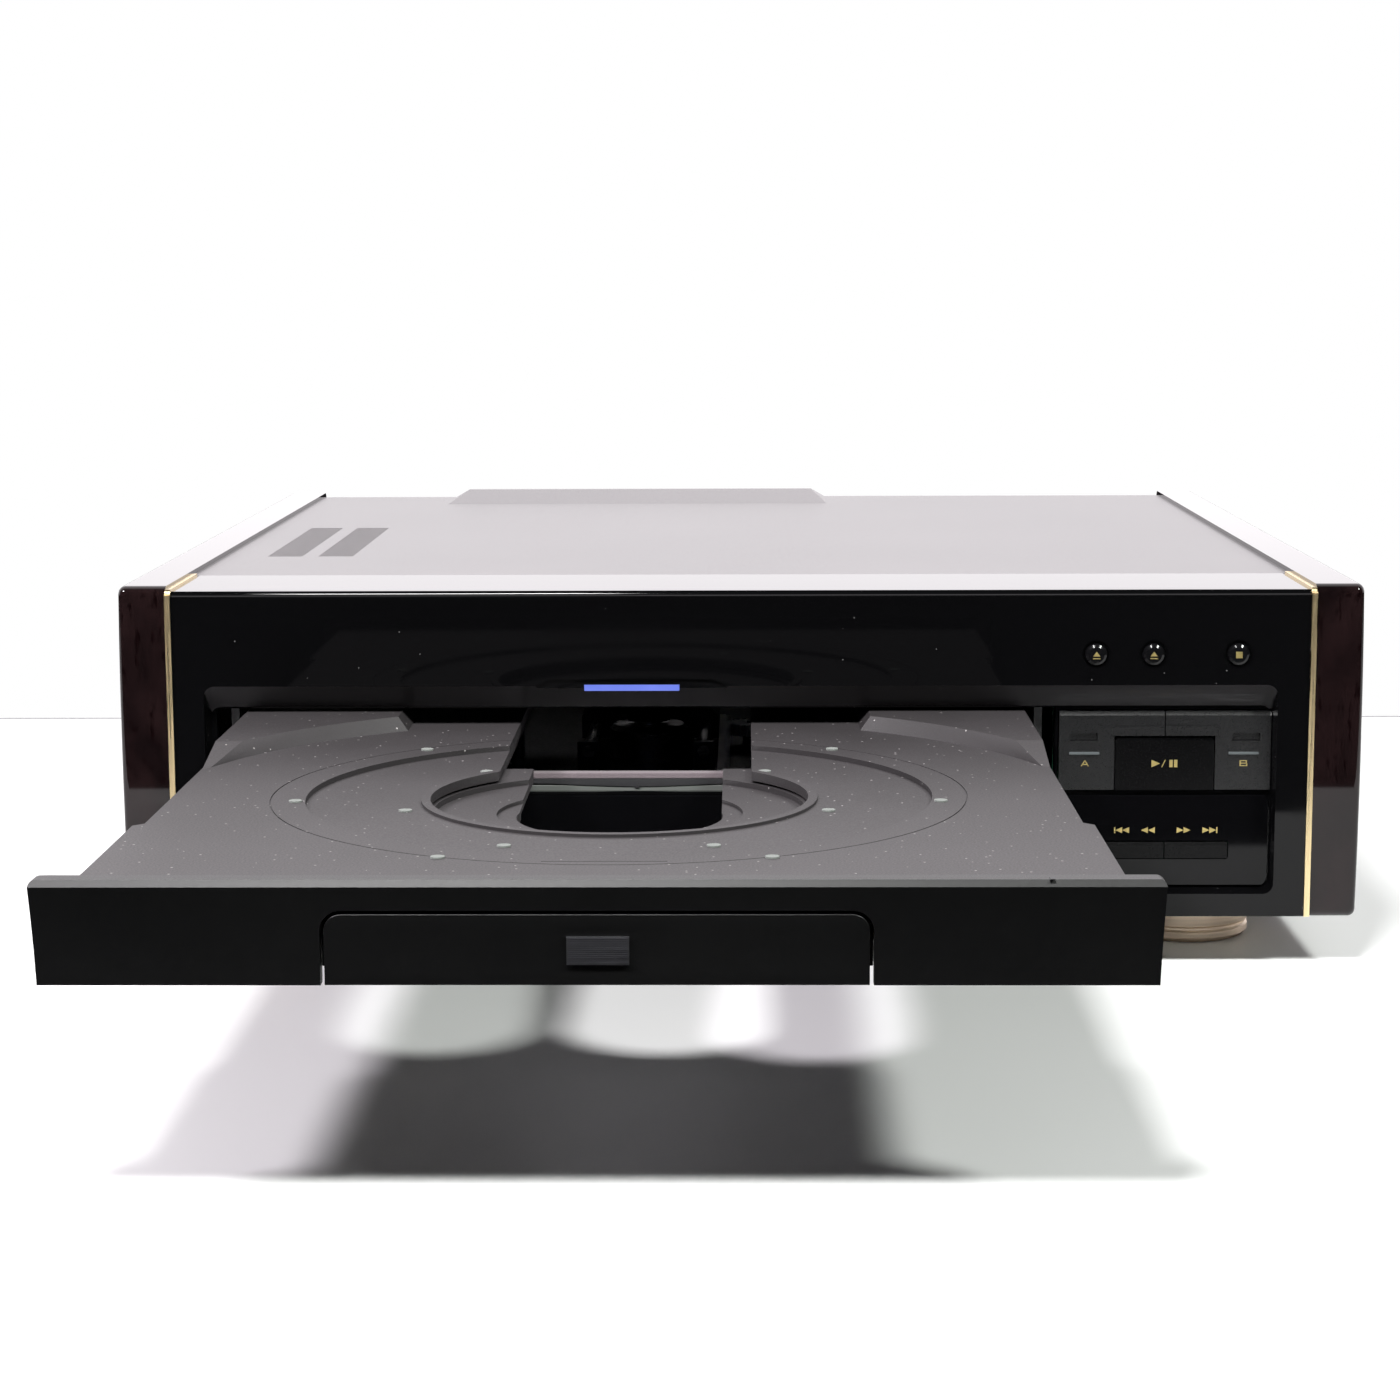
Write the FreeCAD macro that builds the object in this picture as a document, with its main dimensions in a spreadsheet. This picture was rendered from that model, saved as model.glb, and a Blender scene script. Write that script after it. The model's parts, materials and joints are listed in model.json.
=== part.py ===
import FreeCAD, Part
import Sketcher
import math
import os
import re

# Front-loading laserdisc player with a second, small-disc tray inside the large one.
# X runs to the right, Y to the rear and Z up. Lengths in the formulas are measured from the
# middle of the body, from the front edge of the wooden sides and from the floor. The whole player
# is then set back so that the origin is under the middle of the player with its tray drawn out.

sizes = {
    # body
    "body_height": 145, "recess_side": 11.6, "rear_inset": 10, "inner_gap": 0.3,
    "wood_thick": 17.9, "wood_bow": 3, "wood_round": 2.5, "wood_corner": 3.5,
    "trim_wide": 2.1, "trim_thick": 3, "trim_step": 0.8,
    "cover_drop": 1.8, "cover_thick": 1.2, "cover_back": 7.5, "cover_low": 1.2,
    "hump_shift": 12.3, "hump_half": 87.5, "hump_high": 4, "hump_deep": 44, "hump_slope": 7,
    "hump_run": 3, "vent_long": 14.5, "vent_slot": 1.8, "vent_pitch": 3.6, "vent_count": 35,
    "vent_inset": 18.1, "vent_step": 21, "vent_front": 129,
    "chassis_thick": 1.6, "chassis_wall": 34, "chassis_front": 13, "chassis_notch": 6,
    "floor_slot": 4, "floor_slot_pitch": 10, "floor_slot_count": 12, "floor_slot_inset": 6,
    "rear_thick": 1.2,
    # feet
    "foot_high": 18.8, "foot_wide": 27, "foot_side": 56, "foot_front": 64, "foot_rear": 70,
    "foot_pad_wide": 18, "foot_pad_thick": 1.2, "foot_pad_gap": 0.2, "foot_rim": 0.4,
    "foot_groove": 0.8, "foot_low": 5, "foot_step": 1.5,
    # front panel
    "panel_set": 1, "panel_lift": 0.8, "panel_deep": 57, "panel_thick": 11, "panel_wall": 3,
    "panel_round": 2, "recess_low": 28.2, "recess_high": 107.6,
    "recess_deep": 8.5, "recess_top_slope": 9, "recess_edge_slope": 0.8, "recess_round": 4,
    "window_gap": 0.4, "window_lift": 0.6, "window_seat": 1.5, "window_thick": 2.4,
    "window_ledge": 3, "window_high": 34.8, "window_fit": 0.1, "window_round": 2,
    "light_wide": 35.4, "light_high": 2.2, "light_low": 105.7, "light_shift": 1, "light_deep": 12,
    "light_sunk": 0.6, "light_frame": 61, "light_flare": 5, "light_frame_deep": 0.8,
    "light_frame_rise": 2.2, "light_frame_base": 4, "mouth_inset": 3.1, "mouth_round": 1,
    # keys and buttons
    "key_face": 8, "key_low": 66.8, "key_high": 96.8, "key_span": 79.3, "key_inset": 1,
    "mouth_to_key": 1.2, "key_gap": 0.4, "key_deep": 6, "key_wall": 1, "key_travel": 1,
    "play_wide": 37, "play_high": 20.2, "play_round": 2, "play_frame": 3.6, "play_proud": 0.4,
    "ledge_wide": 10.4, "ledge_inset": 4, "ledge_low": 85.4, "ledge_high": 3, "ledge_deep": 1.2,
    "stem_thick": 2, "stem_long": 2.6, "switch_gap": 0.3, "switch_wide": 3,
    "button_wide": 4.3, "button_gap": 0.3, "button_proud": 0.8, "button_spot": 119,
    "small_eject_inset": 12.6, "large_eject_inset": 33.9, "stop_inset": 65.4, "button_ring": 1.1,
    "rocker_inset": 16.3, "rocker_span": 47.6, "rocker_low": 40.5, "rocker_high": 6.1,
    "rocker_pin": 1.2, "rocker_fit": 0.05, "rocker_proud": 0.8, "rocker_ear": 3.4,
    "ear_wall": 1.6, "ear_gap": 0.6, "power_inset": 10.4, "power_wide": 20, "panel_key_gap": 0.5,
    # trays
    "tray_travel": 298, "disc_set": 157.5,
    "door_half": 157.2, "door_low": 66.8, "door_high": 97.2, "door_thick": 6, "door_gap": 0.9,
    "door_bevel": 2.2, "door_lean": 0.3, "door_hollow": 1.8, "door_curve": 150, "door_round": 2.5,
    "door_taper": 1.2,
    "tray_half": 149.4, "tray_step": 3.2, "tray_step_spot": 103, "tray_long": 349, "tray_thick": 4,
    "tray_top": 92, "tray_round": 8, "wing_high": 5, "wing_inner": 84, "wing_lean": 3.8,
    "wing_set": 48.5, "wing_slope": 25, "recess_twelve": 151.5,
    "recess_eight": 102.5, "eight_deep": 1.8, "lip_inner": 62, "lip_outer": 65, "lip_rise": 1,
    "ring_groove": 114, "groove_wide": 0.5, "groove_deep": 0.35, "mark_long": 37, "mark_set": 109,
    "large_slot": 43.5, "skirt_high": 9, "skirt_thick": 3.5, "skirt_spot": 134,
    "pad_wide": 2.15, "pad_thick": 0.5,
    "small_half": 72.5, "small_door_half": 75.7, "small_door_high": 20.3, "small_door_round": 5,
    "small_door_thick": 5, "small_door_gap": 1.1, "small_top": 87.2, "small_thick": 6.4,
    "small_long": 338, "recess_five": 61, "five_deep": 1.8, "recess_three": 40.5, "three_deep": 1.2,
    "small_hole": 34, "small_slot": 33.5, "small_flange": 3.9, "small_skin": 1.6, "rail_gap": 0.3,
    "rail_thick": 2.5, "rail_shelf": 1.5,
    # loader
    "guide_gap": 1, "guide_thick": 3, "guide_rear_gap": 48, "shelf_thick": 3, "shelf_wide": 10,
    "wall_window": 50, "wall_window_pitch": 70, "wall_window_count": 4,
    "guide_lip": 2, "guide_head": 0.6, "beam_thick": 5, "beam_wide": 15, "beam_high": 60,
    "gear_module": 1.5, "gear_teeth": 20, "gear_spot": 38, "gear_thick": 8, "gear_play": 0.3,
    "gear_post": 2.5, "gear_fit": 0.05, "bracket_high": 70, "bracket_thick": 2.5,
    "pulley_wide": 18, "motor_pulley_wide": 5, "pulley_thick": 5, "pulley_flange": 1.8,
    "belt_thick": 1, "belt_high": 2.4, "belt_gap": 0.3, "belt_reach": 58,
    "motor_wide": 12, "motor_long": 22, "bridge_high": 108, "bridge_thick": 1.5,
    "bridge_wide": 54, "bridge_rib": 7, "clamper_wide": 25, "clamper_low": 96.5,
    "clamper_thick": 7, "clamper_neck": 12.5, "clamper_cap": 19, "clamper_play": 1,
    "clamper_gap": 0.3, "clamper_hollow": 18.6, "hollow_deep": 4,
    # disc drive
    "deck_high": 50, "deck_thick": 2.5, "deck_half": 62, "deck_front": 118, "deck_long": 236,
    "post_thick": 3, "post_collar": 6, "post_fit": 0.3, "post_spot": 54, "post_inset": 10,
    "lift_travel": 16, "spindle_wide": 17, "spindle_long": 14.5, "shaft_thick": 1.5, "shaft_fit": 0.05,
    "table_wide": 20.5, "table_low": 74, "table_thick": 4, "table_hub": 9, "cone_wide": 17.4,
    "cone_high": 2.5, "spigot_wide": 7.4, "spigot_high": 3,
    "rod_thick": 2.5, "rod_spot": 24, "rod_high": 62, "rod_fit": 0.05, "rod_block": 4,
    "pickup_half": 30, "pickup_front": 20, "pickup_long": 35, "pickup_low": 57, "pickup_high": 71,
    "pickup_travel": 118, "lens_reach": 26, "lens_wide": 3.4, "tower_wide": 4.6, "tower_high": 5,
    "feed_module": 1, "feed_teeth": 20, "feed_reach": 33, "feed_thick": 5, "feed_post": 2,
    "feed_rack_thick": 3, "feed_motor_wide": 12, "feed_motor_long": 18,
    # electronics and sockets
    "board_thick": 1.6, "board_lift": 8, "board_side": 9.8, "board_inset": 6.9, "board_gap": 5,
    "board_front": 55, "main_long": 165, "power_long": 116, "grid": 2.54, "leg_inset": 6,
    "upper_board_high": 112, "front_board_set": 10, "front_board_low": 21.5, "boss_wide": 3,
    "tube_wide": 120, "tube_high": 22, "tube_thick": 8, "tube_low": 35,
    "transformer_wide": 62, "transformer_deep": 52, "transformer_high": 50,
    "transformer_wing": 12, "transformer_foot": 5, "transformer_plate": 2,
    "socket_wide": 4.2, "socket_bore": 1.7, "socket_long": 8, "socket_pitch": 14,
    "socket_columns": 7, "socket_rows": 3, "socket_shift": 80.8, "socket_low": 62,
    "socket_rail": 8, "video_shift": 29.2, "video_wide": 5.2, "video_well": 4,
    "inlet_wide": 27, "inlet_high": 20, "inlet_deep": 16, "inlet_wall": 3, "inlet_lift": 12,
    "inlet_shift": 5, "screw_wide": 3, "screw_head": 1.6, "screw_inset": 22,
}

# Places that several pieces share, worked out from the sizes.
places = {
    "recess_half":
        "(mouth_inset + 2 * (door_half + door_gap) + mouth_to_key + key_span + key_inset) / 2",
    "half_width": "recess_half + recess_side + trim_wide + wood_thick",
    "wood_inner": "half_width - wood_thick",
    "trim_inner": "wood_inner - trim_wide",
    "cover_top": "body_height - cover_drop",
    "cover_inner": "wood_inner - cover_thick",
    "cover_rear": "body_depth - cover_back",
    "power_front": "board_front + main_long + board_gap",
    "transformer_front": "power_front + power_long + board_gap",
    "rear_face": "transformer_front + transformer_deep + board_gap + inlet_deep + 1",
    "body_depth": "rear_face + rear_inset",
    "floor_top": "foot_high + chassis_thick",
    "panel_back": "panel_set + panel_thick",
    "panel_bottom": "foot_high + panel_lift",
    "recess_floor": "panel_set + recess_deep",
    "window_low": "recess_low + recess_edge_slope + window_gap + window_lift",
    "window_top": "window_low + window_high",
    "window_face": "recess_floor + window_seat - window_thick",
    "window_half": "recess_half - recess_edge_slope - window_gap",
    "mouth_low": "door_low - door_gap",
    "mouth_high": "door_high + door_gap",
    "tray_spot": "door_half + door_gap + mouth_inset - recess_half",
    "key_left": "tray_spot + door_half + door_gap + mouth_to_key",
    "key_right": "key_left + key_span",
    "key_split": "key_left + key_span / 2",
    "small_eject_spot": "key_left + small_eject_inset",
    "large_eject_spot": "key_left + large_eject_inset",
    "stop_spot": "key_left + stop_inset",
    "rocker_left": "key_left + rocker_inset",
    "rocker_right": "rocker_left + rocker_span",
    "rocker_split": "rocker_left + rocker_span / 2",
    "power_left": "power_inset - recess_half",
    "light_spot": "tray_spot - light_shift",
    "hump_spot": "tray_spot - hump_shift",
    "door_front": "key_face - tray_travel",
    "door_rear": "door_front + door_thick",
    "tray_rear": "door_rear + tray_long",
    "tray_under": "tray_top - tray_thick",
    "disc_open": "door_front + disc_set",
    "disc_closed": "key_face + disc_set",
    "rear_half": "tray_half - tray_step",
    "step_y": "door_front + tray_step_spot",
    "eight_top": "tray_top - eight_deep",
    "guide_inner": "tray_half + guide_gap",
    "guide_outer": "guide_inner + guide_thick",
    "shelf_top": "tray_under - rail_gap",
    "lip_low": "tray_top + wing_high + guide_head",
    "lip_top": "lip_low + guide_lip",
    "guide_front": "key_face + door_thick + 1",
    "guide_rear": "rear_face - guide_rear_gap",
    "small_low": "small_top - small_thick",
    "small_rear": "door_front + small_door_thick + small_long",
    "flange_half": "small_half + small_flange",
    "rail_inner": "flange_half + 0.6",
    "rail_low": "small_low - rail_gap - rail_shelf",
    "gear_pitch": "gear_module * gear_teeth / 2",
    "gear_x": "tray_spot - skirt_spot + gear_pitch + gear_module",
    "gear_low": "tray_under - 1.5 - gear_thick",
    "pulley_low": "bracket_high + 0.8",
    "belt_low": "pulley_low + (pulley_thick - belt_high) / 2",
    "motor_y": "gear_spot + belt_reach",
    "deck_top": "deck_high + deck_thick",
    "deck_rear": "deck_front + deck_long",
    "pickup_y": "disc_closed + pickup_front",
    "lens_y": "disc_closed + lens_reach",
    "feed_pitch": "feed_module * feed_teeth / 2",
    "feed_x": "tray_spot + pickup_half + feed_rack_thick + feed_module + feed_pitch",
    "feed_y": "disc_closed + feed_reach",
    "table_top": "table_low + table_thick",
    "board_low": "floor_top + board_lift",
    "board_left": "tray_spot + guide_outer + board_side",
    "board_right": "cover_inner - board_inset",
    "inlet_spot": "(board_left + board_right) / 2 + inlet_shift",
    "inlet_low": "board_low + inlet_lift",
    "socket_left": "tray_spot - socket_shift",
    "socket_middle": "socket_low + socket_pitch",
    "video_spot": "tray_spot + video_shift",
    "front_board": "panel_back + front_board_set",
    "switch_face": "key_face + key_deep + stem_long + key_travel + switch_gap",
    "rocker_y": "key_face + key_deep - rocker_pin",
    "left_rocker_spot": "(rocker_left + rocker_split - key_gap / 2) / 2",
    "right_rocker_spot": "(rocker_split + key_gap / 2 + rocker_right) / 2",
}

doc = FreeCAD.newDocument("LaserdiscPlayer")
sheet = doc.addObject("Spreadsheet::Sheet", "Sizes")
nodes = []


def fill_sheet():
    for row, (name, value) in enumerate(sizes.items(), start=1):
        sheet.set(f"A{row}", name)
        sheet.set(f"B{row}", str(value))
        sheet.setAlias(f"B{row}", name)
    doc.recompute()


# A formula with its places written out and its sizes pointed at the sheet.
def bound(formula):
    def swap(match):
        word = match.group()
        if word in places:
            return "(" + bound(places[word]) + ")"
        return "Sizes." + word if word in sizes else word
    return re.sub(r"[a-z][a-z_]*", swap, str(formula))


def value(formula):
    return float(sheet.evalExpression(bound(formula)))


def bind(thing, prop, formula):
    thing.setExpression(prop, bound(formula))


# ---- sketches and features -------------------------------------------------------------------

# Each origin plane with the sign of its normal along its axis.
normals = {"XY_Plane": 1, "YZ_Plane": 1, "XZ_Plane": -1}


def new_body(label):
    body = doc.addObject("PartDesign::Body", label)
    nodes.append(body)
    return body


def new_sketch(body, plane, level):
    sketch = body.newObject("Sketcher::SketchObject", body.Name + "_sketch")
    support = next(f for f in body.Origin.OriginFeatures if f.Role == plane)
    sketch.AttachmentSupport = [(support, "")]
    sketch.MapMode = "FlatFace"
    bind(sketch, "AttachmentOffset.Base.z", f"{normals[plane]} * ({level})")
    return sketch


def hold(sketch, kind, geometry, point, formula):
    number = sketch.addConstraint(
        Sketcher.Constraint(kind, -1, 1, geometry, point, value(formula)))
    sketch.setExpression(f"Constraints[{number}]", bound(formula))


# The middle of the short arc from a to b, which bulges to the left of that way if side is 1.
def arc_middle(a, b, radius, side):
    chord = b - a
    rise = radius - math.sqrt(max(radius ** 2 - (chord.Length / 2) ** 2, 0))
    left = FreeCAD.Vector(-chord.y, chord.x, 0).normalize()
    return (a + b) * 0.5 + left * rise * side


# A closed outline. Each corner is (across, up), or (across, up, radius, side) if the edge that
# leaves it is an arc.
def draw_outline(sketch, corners):
    first = sketch.GeometryCount
    points = [FreeCAD.Vector(value(corner[0]), value(corner[1]), 0) for corner in corners]
    following = points[1:] + points[:1]
    starts = []
    for corner, a, b in zip(corners, points, following):
        if len(corner) == 2:
            sketch.addGeometry(Part.LineSegment(a, b))
            starts.append(1)
            continue
        radius, side = corner[2:]
        middle = arc_middle(a, b, value(radius), side)
        # A sketch keeps its arcs anticlockwise, so one that bulges to the left is drawn backwards.
        sketch.addGeometry(Part.Arc(a, middle, b) if side < 0 else Part.Arc(b, middle, a))
        starts.append(1 if side < 0 else 2)
    count = len(corners)
    for index, corner in enumerate(corners):
        after = (index + 1) % count
        sketch.addConstraint(Sketcher.Constraint(
            "Coincident", first + index, 3 - starts[index], first + after, starts[after]))
        hold(sketch, "DistanceX", first + index, starts[index], corner[0])
        hold(sketch, "DistanceY", first + index, starts[index], corner[1])
        if len(corner) > 2:
            number = sketch.addConstraint(
                Sketcher.Constraint("Radius", first + index, value(corner[2])))
            sketch.setExpression(f"Constraints[{number}]", bound(corner[2]))


def draw_circle(sketch, across, up, radius):
    centre = FreeCAD.Vector(value(across), value(up), 0)
    number = sketch.addGeometry(Part.Circle(centre, FreeCAD.Vector(0, 0, 1), value(radius)))
    hold(sketch, "DistanceX", number, 3, across)
    hold(sketch, "DistanceY", number, 3, up)
    size = sketch.addConstraint(Sketcher.Constraint("Radius", number, value(radius)))
    sketch.setExpression(f"Constraints[{size}]", bound(radius))


# A loop is a list of corners, or a tuple (across, up, radius) for a circle.
def draw(sketch, loops):
    for loop in loops:
        if isinstance(loop, tuple):
            draw_circle(sketch, *loop)
        else:
            draw_outline(sketch, loop)


def rectangle(left, right, low, high):
    return [(left, low), (right, low), (right, high), (left, high)]


def rounded(left, right, low, high, radius):
    turn = (radius, -1)
    return [
        (f"({left}) + {radius}", low), (f"({right}) - {radius}", low, *turn),
        (right, f"({low}) + {radius}"), (right, f"({high}) - {radius}", *turn),
        (f"({right}) - {radius}", high), (f"({left}) + {radius}", high, *turn),
        (left, f"({high}) - {radius}"), (left, f"({low}) + {radius}", *turn),
    ]


# Material between two levels of a plane's axis.
def add(body, plane, low, high, *loops):
    sketch = new_sketch(body, plane, low)
    draw(sketch, loops)
    pad = body.newObject("PartDesign::Pad", body.Name + "_pad")
    pad.Profile = sketch
    bind(pad, "Length", f"({high}) - ({low})")
    pad.Reversed = normals[plane] < 0
    return pad


def take(body, plane, low, high, *loops):
    sketch = new_sketch(body, plane, low)
    draw(sketch, loops)
    pocket = body.newObject("PartDesign::Pocket", body.Name + "_pocket")
    pocket.Profile = sketch
    bind(pocket, "Length", f"({high}) - ({low})")
    pocket.Reversed = normals[plane] > 0
    return pocket


# A loft between two outlines on parallel planes, added or taken away.
def loft(body, kind, plane, low, low_loop, high, high_loop):
    sections = []
    for level, loop in ((low, low_loop), (high, high_loop)):
        sketch = new_sketch(body, plane, level)
        draw(sketch, [loop])
        sections.append(sketch)
    feature = body.newObject("PartDesign::" + kind, body.Name + "_loft")
    feature.Profile = sections[0]
    feature.Sections = sections[1:]
    feature.Ruled = True
    return feature


# A turned shape about the upright axis through the body's own origin; corners are (radius, height).
def turned(body, kind, corners):
    sketch = new_sketch(body, "XZ_Plane", "0")
    draw(sketch, [corners])
    feature = body.newObject("PartDesign::" + kind, body.Name + "_turn")
    feature.Profile = sketch
    feature.ReferenceAxis = (sketch, ["V_Axis"])
    feature.Angle = 360
    return feature


def repeat(body, feature, axis, step, count):
    pattern = body.newObject("PartDesign::LinearPattern", body.Name + "_row")
    pattern.Originals = [feature]
    pattern.Direction = (next(f for f in body.Origin.OriginFeatures if f.Role == axis), [""])
    pattern.Mode = "Spacing"
    bind(pattern, "Offset", step)
    bind(pattern, "Occurrences", count)
    body.Tip = pattern
    return pattern


def mirror(body, features, plane):
    pattern = body.newObject("PartDesign::Mirrored", body.Name + "_mirror")
    pattern.Originals = features
    pattern.MirrorPlane = (next(f for f in body.Origin.OriginFeatures if f.Role == plane), [""])
    body.Tip = pattern
    return pattern


# Puts a sub-part in the player: its own origin goes to this place, measured as in the formulas.
def seat(piece, across="0", back="0", up="0"):
    bind(piece, "Placement.Base.x", across)
    bind(piece, "Placement.Base.y", f"{back} - (body_depth + door_front) / 2")
    bind(piece, "Placement.Base.z", up)


# ---- primitives ------------------------------------------------------------------------------

def block(left, right, front, rear, low, high):
    box = doc.addObject("Part::Box", "block")
    bind(box, "Length", f"({right}) - ({left})")
    bind(box, "Width", f"({rear}) - ({front})")
    bind(box, "Height", f"({high}) - ({low})")
    bind(box, "Placement.Base.x", left)
    bind(box, "Placement.Base.y", front)
    bind(box, "Placement.Base.z", low)
    return box


upright = FreeCAD.Rotation()
backward = FreeCAD.Rotation(FreeCAD.Vector(1, 0, 0), -90)
sideways = FreeCAD.Rotation(FreeCAD.Vector(0, 1, 0), 90)


def cylinder(across, back, up, radius, length, turn=upright):
    rod = doc.addObject("Part::Cylinder", "rod")
    rod.Placement.Rotation = turn
    bind(rod, "Radius", radius)
    bind(rod, "Height", length)
    bind(rod, "Placement.Base.x", across)
    bind(rod, "Placement.Base.y", back)
    bind(rod, "Placement.Base.z", up)
    return rod


def joined(label, pieces):
    fusion = doc.addObject("Part::MultiFuse", label)
    fusion.Shapes = pieces
    return fusion


def cut(label, base, tools):
    result = doc.addObject("Part::Cut", label)
    result.Base = base
    result.Tool = tools[0] if len(tools) == 1 else joined(label + "_tools", tools)
    return result


# Separate solids that share one node, such as screws or pads.
def group(label, pieces):
    gathered = doc.addObject("Part::Compound", label)
    gathered.Links = pieces
    return gathered


def keep(piece, label):
    piece.Label = label
    nodes.append(piece)
    seat(piece)
    return piece


# ---- casing ----------------------------------------------------------------------------------

def make_side_panel(label, side):
    body = new_body(label)
    bow = "((body_height - foot_high) ^ 2 / 4 + wood_bow ^ 2) / (2 * wood_bow)"
    add(body, "YZ_Plane", "0", "wood_thick", [
        ("wood_bow", "foot_high"), ("body_depth", "foot_high"),
        ("body_depth", "body_height"), ("wood_bow", "body_height", bow, -1)])
    round_over(body, "wood_corner", lambda edge: edge.BoundBox.XLength > value("wood_thick") - 0.01)
    round_over(body, "wood_round", lambda edge: is_side_rim(edge, side))
    seat(body, "wood_inner" if side > 0 else "-half_width")


# The rims of the outer face of a side panel.
def is_side_rim(edge, side):
    outer = value("wood_thick") if side > 0 else 0
    box = edge.BoundBox
    return abs(box.XMin - outer) < 0.01 and abs(box.XMax - outer) < 0.01


def round_over(body, radius, wanted):
    doc.recompute()
    base = body.Tip
    names = [f"Edge{n}" for n, edge in enumerate(base.Shape.Edges, start=1) if wanted(edge)]
    fillet = body.newObject("PartDesign::Fillet", body.Name + "_round")
    fillet.Base = (base, names)
    bind(fillet, "Radius", radius)
    return fillet


def make_trim(label, side):
    body = new_body(label)
    front = "panel_set - trim_step"
    top = "cover_top + trim_step"
    add(body, "YZ_Plane", "0", "trim_wide", [
        (front, "panel_bottom"), (f"{front} + trim_thick", "panel_bottom"),
        (f"{front} + trim_thick", f"{top} - trim_thick"), ("panel_deep", f"{top} - trim_thick"),
        ("panel_deep", top), (f"{front} + panel_round", top, "panel_round", 1),
        (front, f"{top} - panel_round")])
    seat(body, "trim_inner" if side > 0 else "-wood_inner")


def make_top_cover():
    body = new_body("top_cover")
    low = "foot_high + cover_low"
    inner = "cover_top - cover_thick"
    add(body, "XZ_Plane", "panel_deep", "cover_rear", [
        ("-wood_inner", low), ("-cover_inner", low), ("-cover_inner", inner),
        ("cover_inner", inner), ("cover_inner", low), ("wood_inner", low),
        ("wood_inner", "cover_top"), ("-wood_inner", "cover_top")])
    hump = (hump_outline("0", "0"), hump_outline("hump_slope", "hump_deep - hump_run"))
    loft(body, "AdditiveLoft", "XY_Plane", "cover_top", hump[0], "cover_top + hump_high", hump[1])
    hollow = (hump_outline("cover_thick", "cover_thick"),
              hump_outline("hump_slope + cover_thick", "hump_deep - hump_run + cover_thick / 2"))
    loft(body, "SubtractiveLoft", "XY_Plane", inner, hollow[0], f"{inner} + hump_high", hollow[1])
    for inset in ("vent_inset", "vent_inset + vent_step"):
        left = f"-wood_inner + {inset}"
        slot = take(body, "XY_Plane", inner, "cover_top", rectangle(
            left, f"{left} + vent_long", "vent_front", "vent_front + vent_slot"))
        repeat(body, slot, "Y_Axis", "vent_pitch", "vent_count")
    seat(body)


# The hump at the rear of the cover, drawn in by these amounts at its sides and its front.
def hump_outline(side, front):
    left = f"hump_spot - hump_half - hump_slope + {side}"
    right = f"hump_spot + hump_half + hump_slope - ({side})"
    return rectangle(left, right, f"cover_rear - hump_deep + {front}", "cover_rear")


def make_chassis():
    body = new_body("base_chassis")
    wall = "cover_inner - inner_gap"
    inner = f"{wall} - chassis_thick"
    top = "foot_high + chassis_wall"
    add(body, "XZ_Plane", "chassis_front", "rear_face", [
        (f"-({wall})", "foot_high"), (wall, "foot_high"), (wall, top), (inner, top),
        (inner, "floor_top"), (f"-({inner})", "floor_top"), (f"-({inner})", top),
        (f"-({wall})", top)])
    front = "power_front - floor_slot_pitch * floor_slot_count"
    slot = take(body, "XY_Plane", "foot_high", "floor_top", rounded(
        "board_left + floor_slot_inset", "board_right - floor_slot_inset",
        front, f"{front} + floor_slot", "floor_slot * 0.45"))
    repeat(body, slot, "Y_Axis", "floor_slot_pitch", "floor_slot_count")
    take(body, "YZ_Plane", f"-({wall}) - 1", f"{wall} + 1", rectangle(
        "chassis_front", "panel_deep", "floor_top + chassis_notch", f"{top} + 1"))
    seat(body)


def make_foot(label, across, back):
    body = new_body(label)
    well = "foot_pad_wide + foot_pad_gap"
    waist = "foot_wide - foot_step"
    groove = f"{waist} - foot_groove"
    turned(body, "Revolution", [
        ("0", "foot_pad_thick"), (well, "foot_pad_thick"), (well, "foot_rim"),
        (f"{waist} - foot_step", "foot_rim"), (waist, "foot_rim + foot_step"),
        (waist, "foot_low - foot_groove"), (groove, "foot_low"),
        (groove, "foot_low + foot_groove"), (waist, "foot_low + 2 * foot_groove"),
        ("foot_wide", "foot_high - foot_step"), ("foot_wide - 1", "foot_high"), ("0", "foot_high")])
    seat(body, across, back)


def foot_spots():
    side = "half_width - foot_side"
    front = "foot_front"
    rear = "body_depth - foot_rear"
    return {
        "foot_front_left": (f"-({side})", front), "foot_front_right": (side, front),
        "foot_rear_left": (f"-({side})", rear), "foot_rear_right": (side, rear),
    }


def make_feet():
    pads = []
    for label, (across, back) in foot_spots().items():
        make_foot(label, across, back)
        pads.append(cylinder(across, back, "0", "foot_pad_wide", "foot_pad_thick"))
    keep(group("foot_pads", pads), "foot_pads")


def make_rear_panel():
    body = new_body("rear_panel")
    side = "cover_inner - 2 * inner_gap"
    add(body, "XZ_Plane", "rear_face", "rear_face + rear_thick", rectangle(
        f"-({side})", side, "foot_high + cover_low", "cover_top - cover_thick - inner_gap"))
    take(body, "XZ_Plane", "rear_face", "rear_face + rear_thick",
         *[(x, z, "socket_wide") for x, z in socket_spots()],
         ("video_spot", "socket_middle", "video_wide"),
         rectangle("inlet_spot - inlet_wide / 2", "inlet_spot + inlet_wide / 2",
                   "inlet_low", "inlet_low + inlet_high"))
    seat(body)


# The grid of phono sockets, as seen from in front.
def socket_spots():
    return [(f"socket_left + {column} * socket_pitch", f"socket_low + {row} * socket_pitch")
            for column in range(sizes["socket_columns"]) for row in range(sizes["socket_rows"])]


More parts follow.
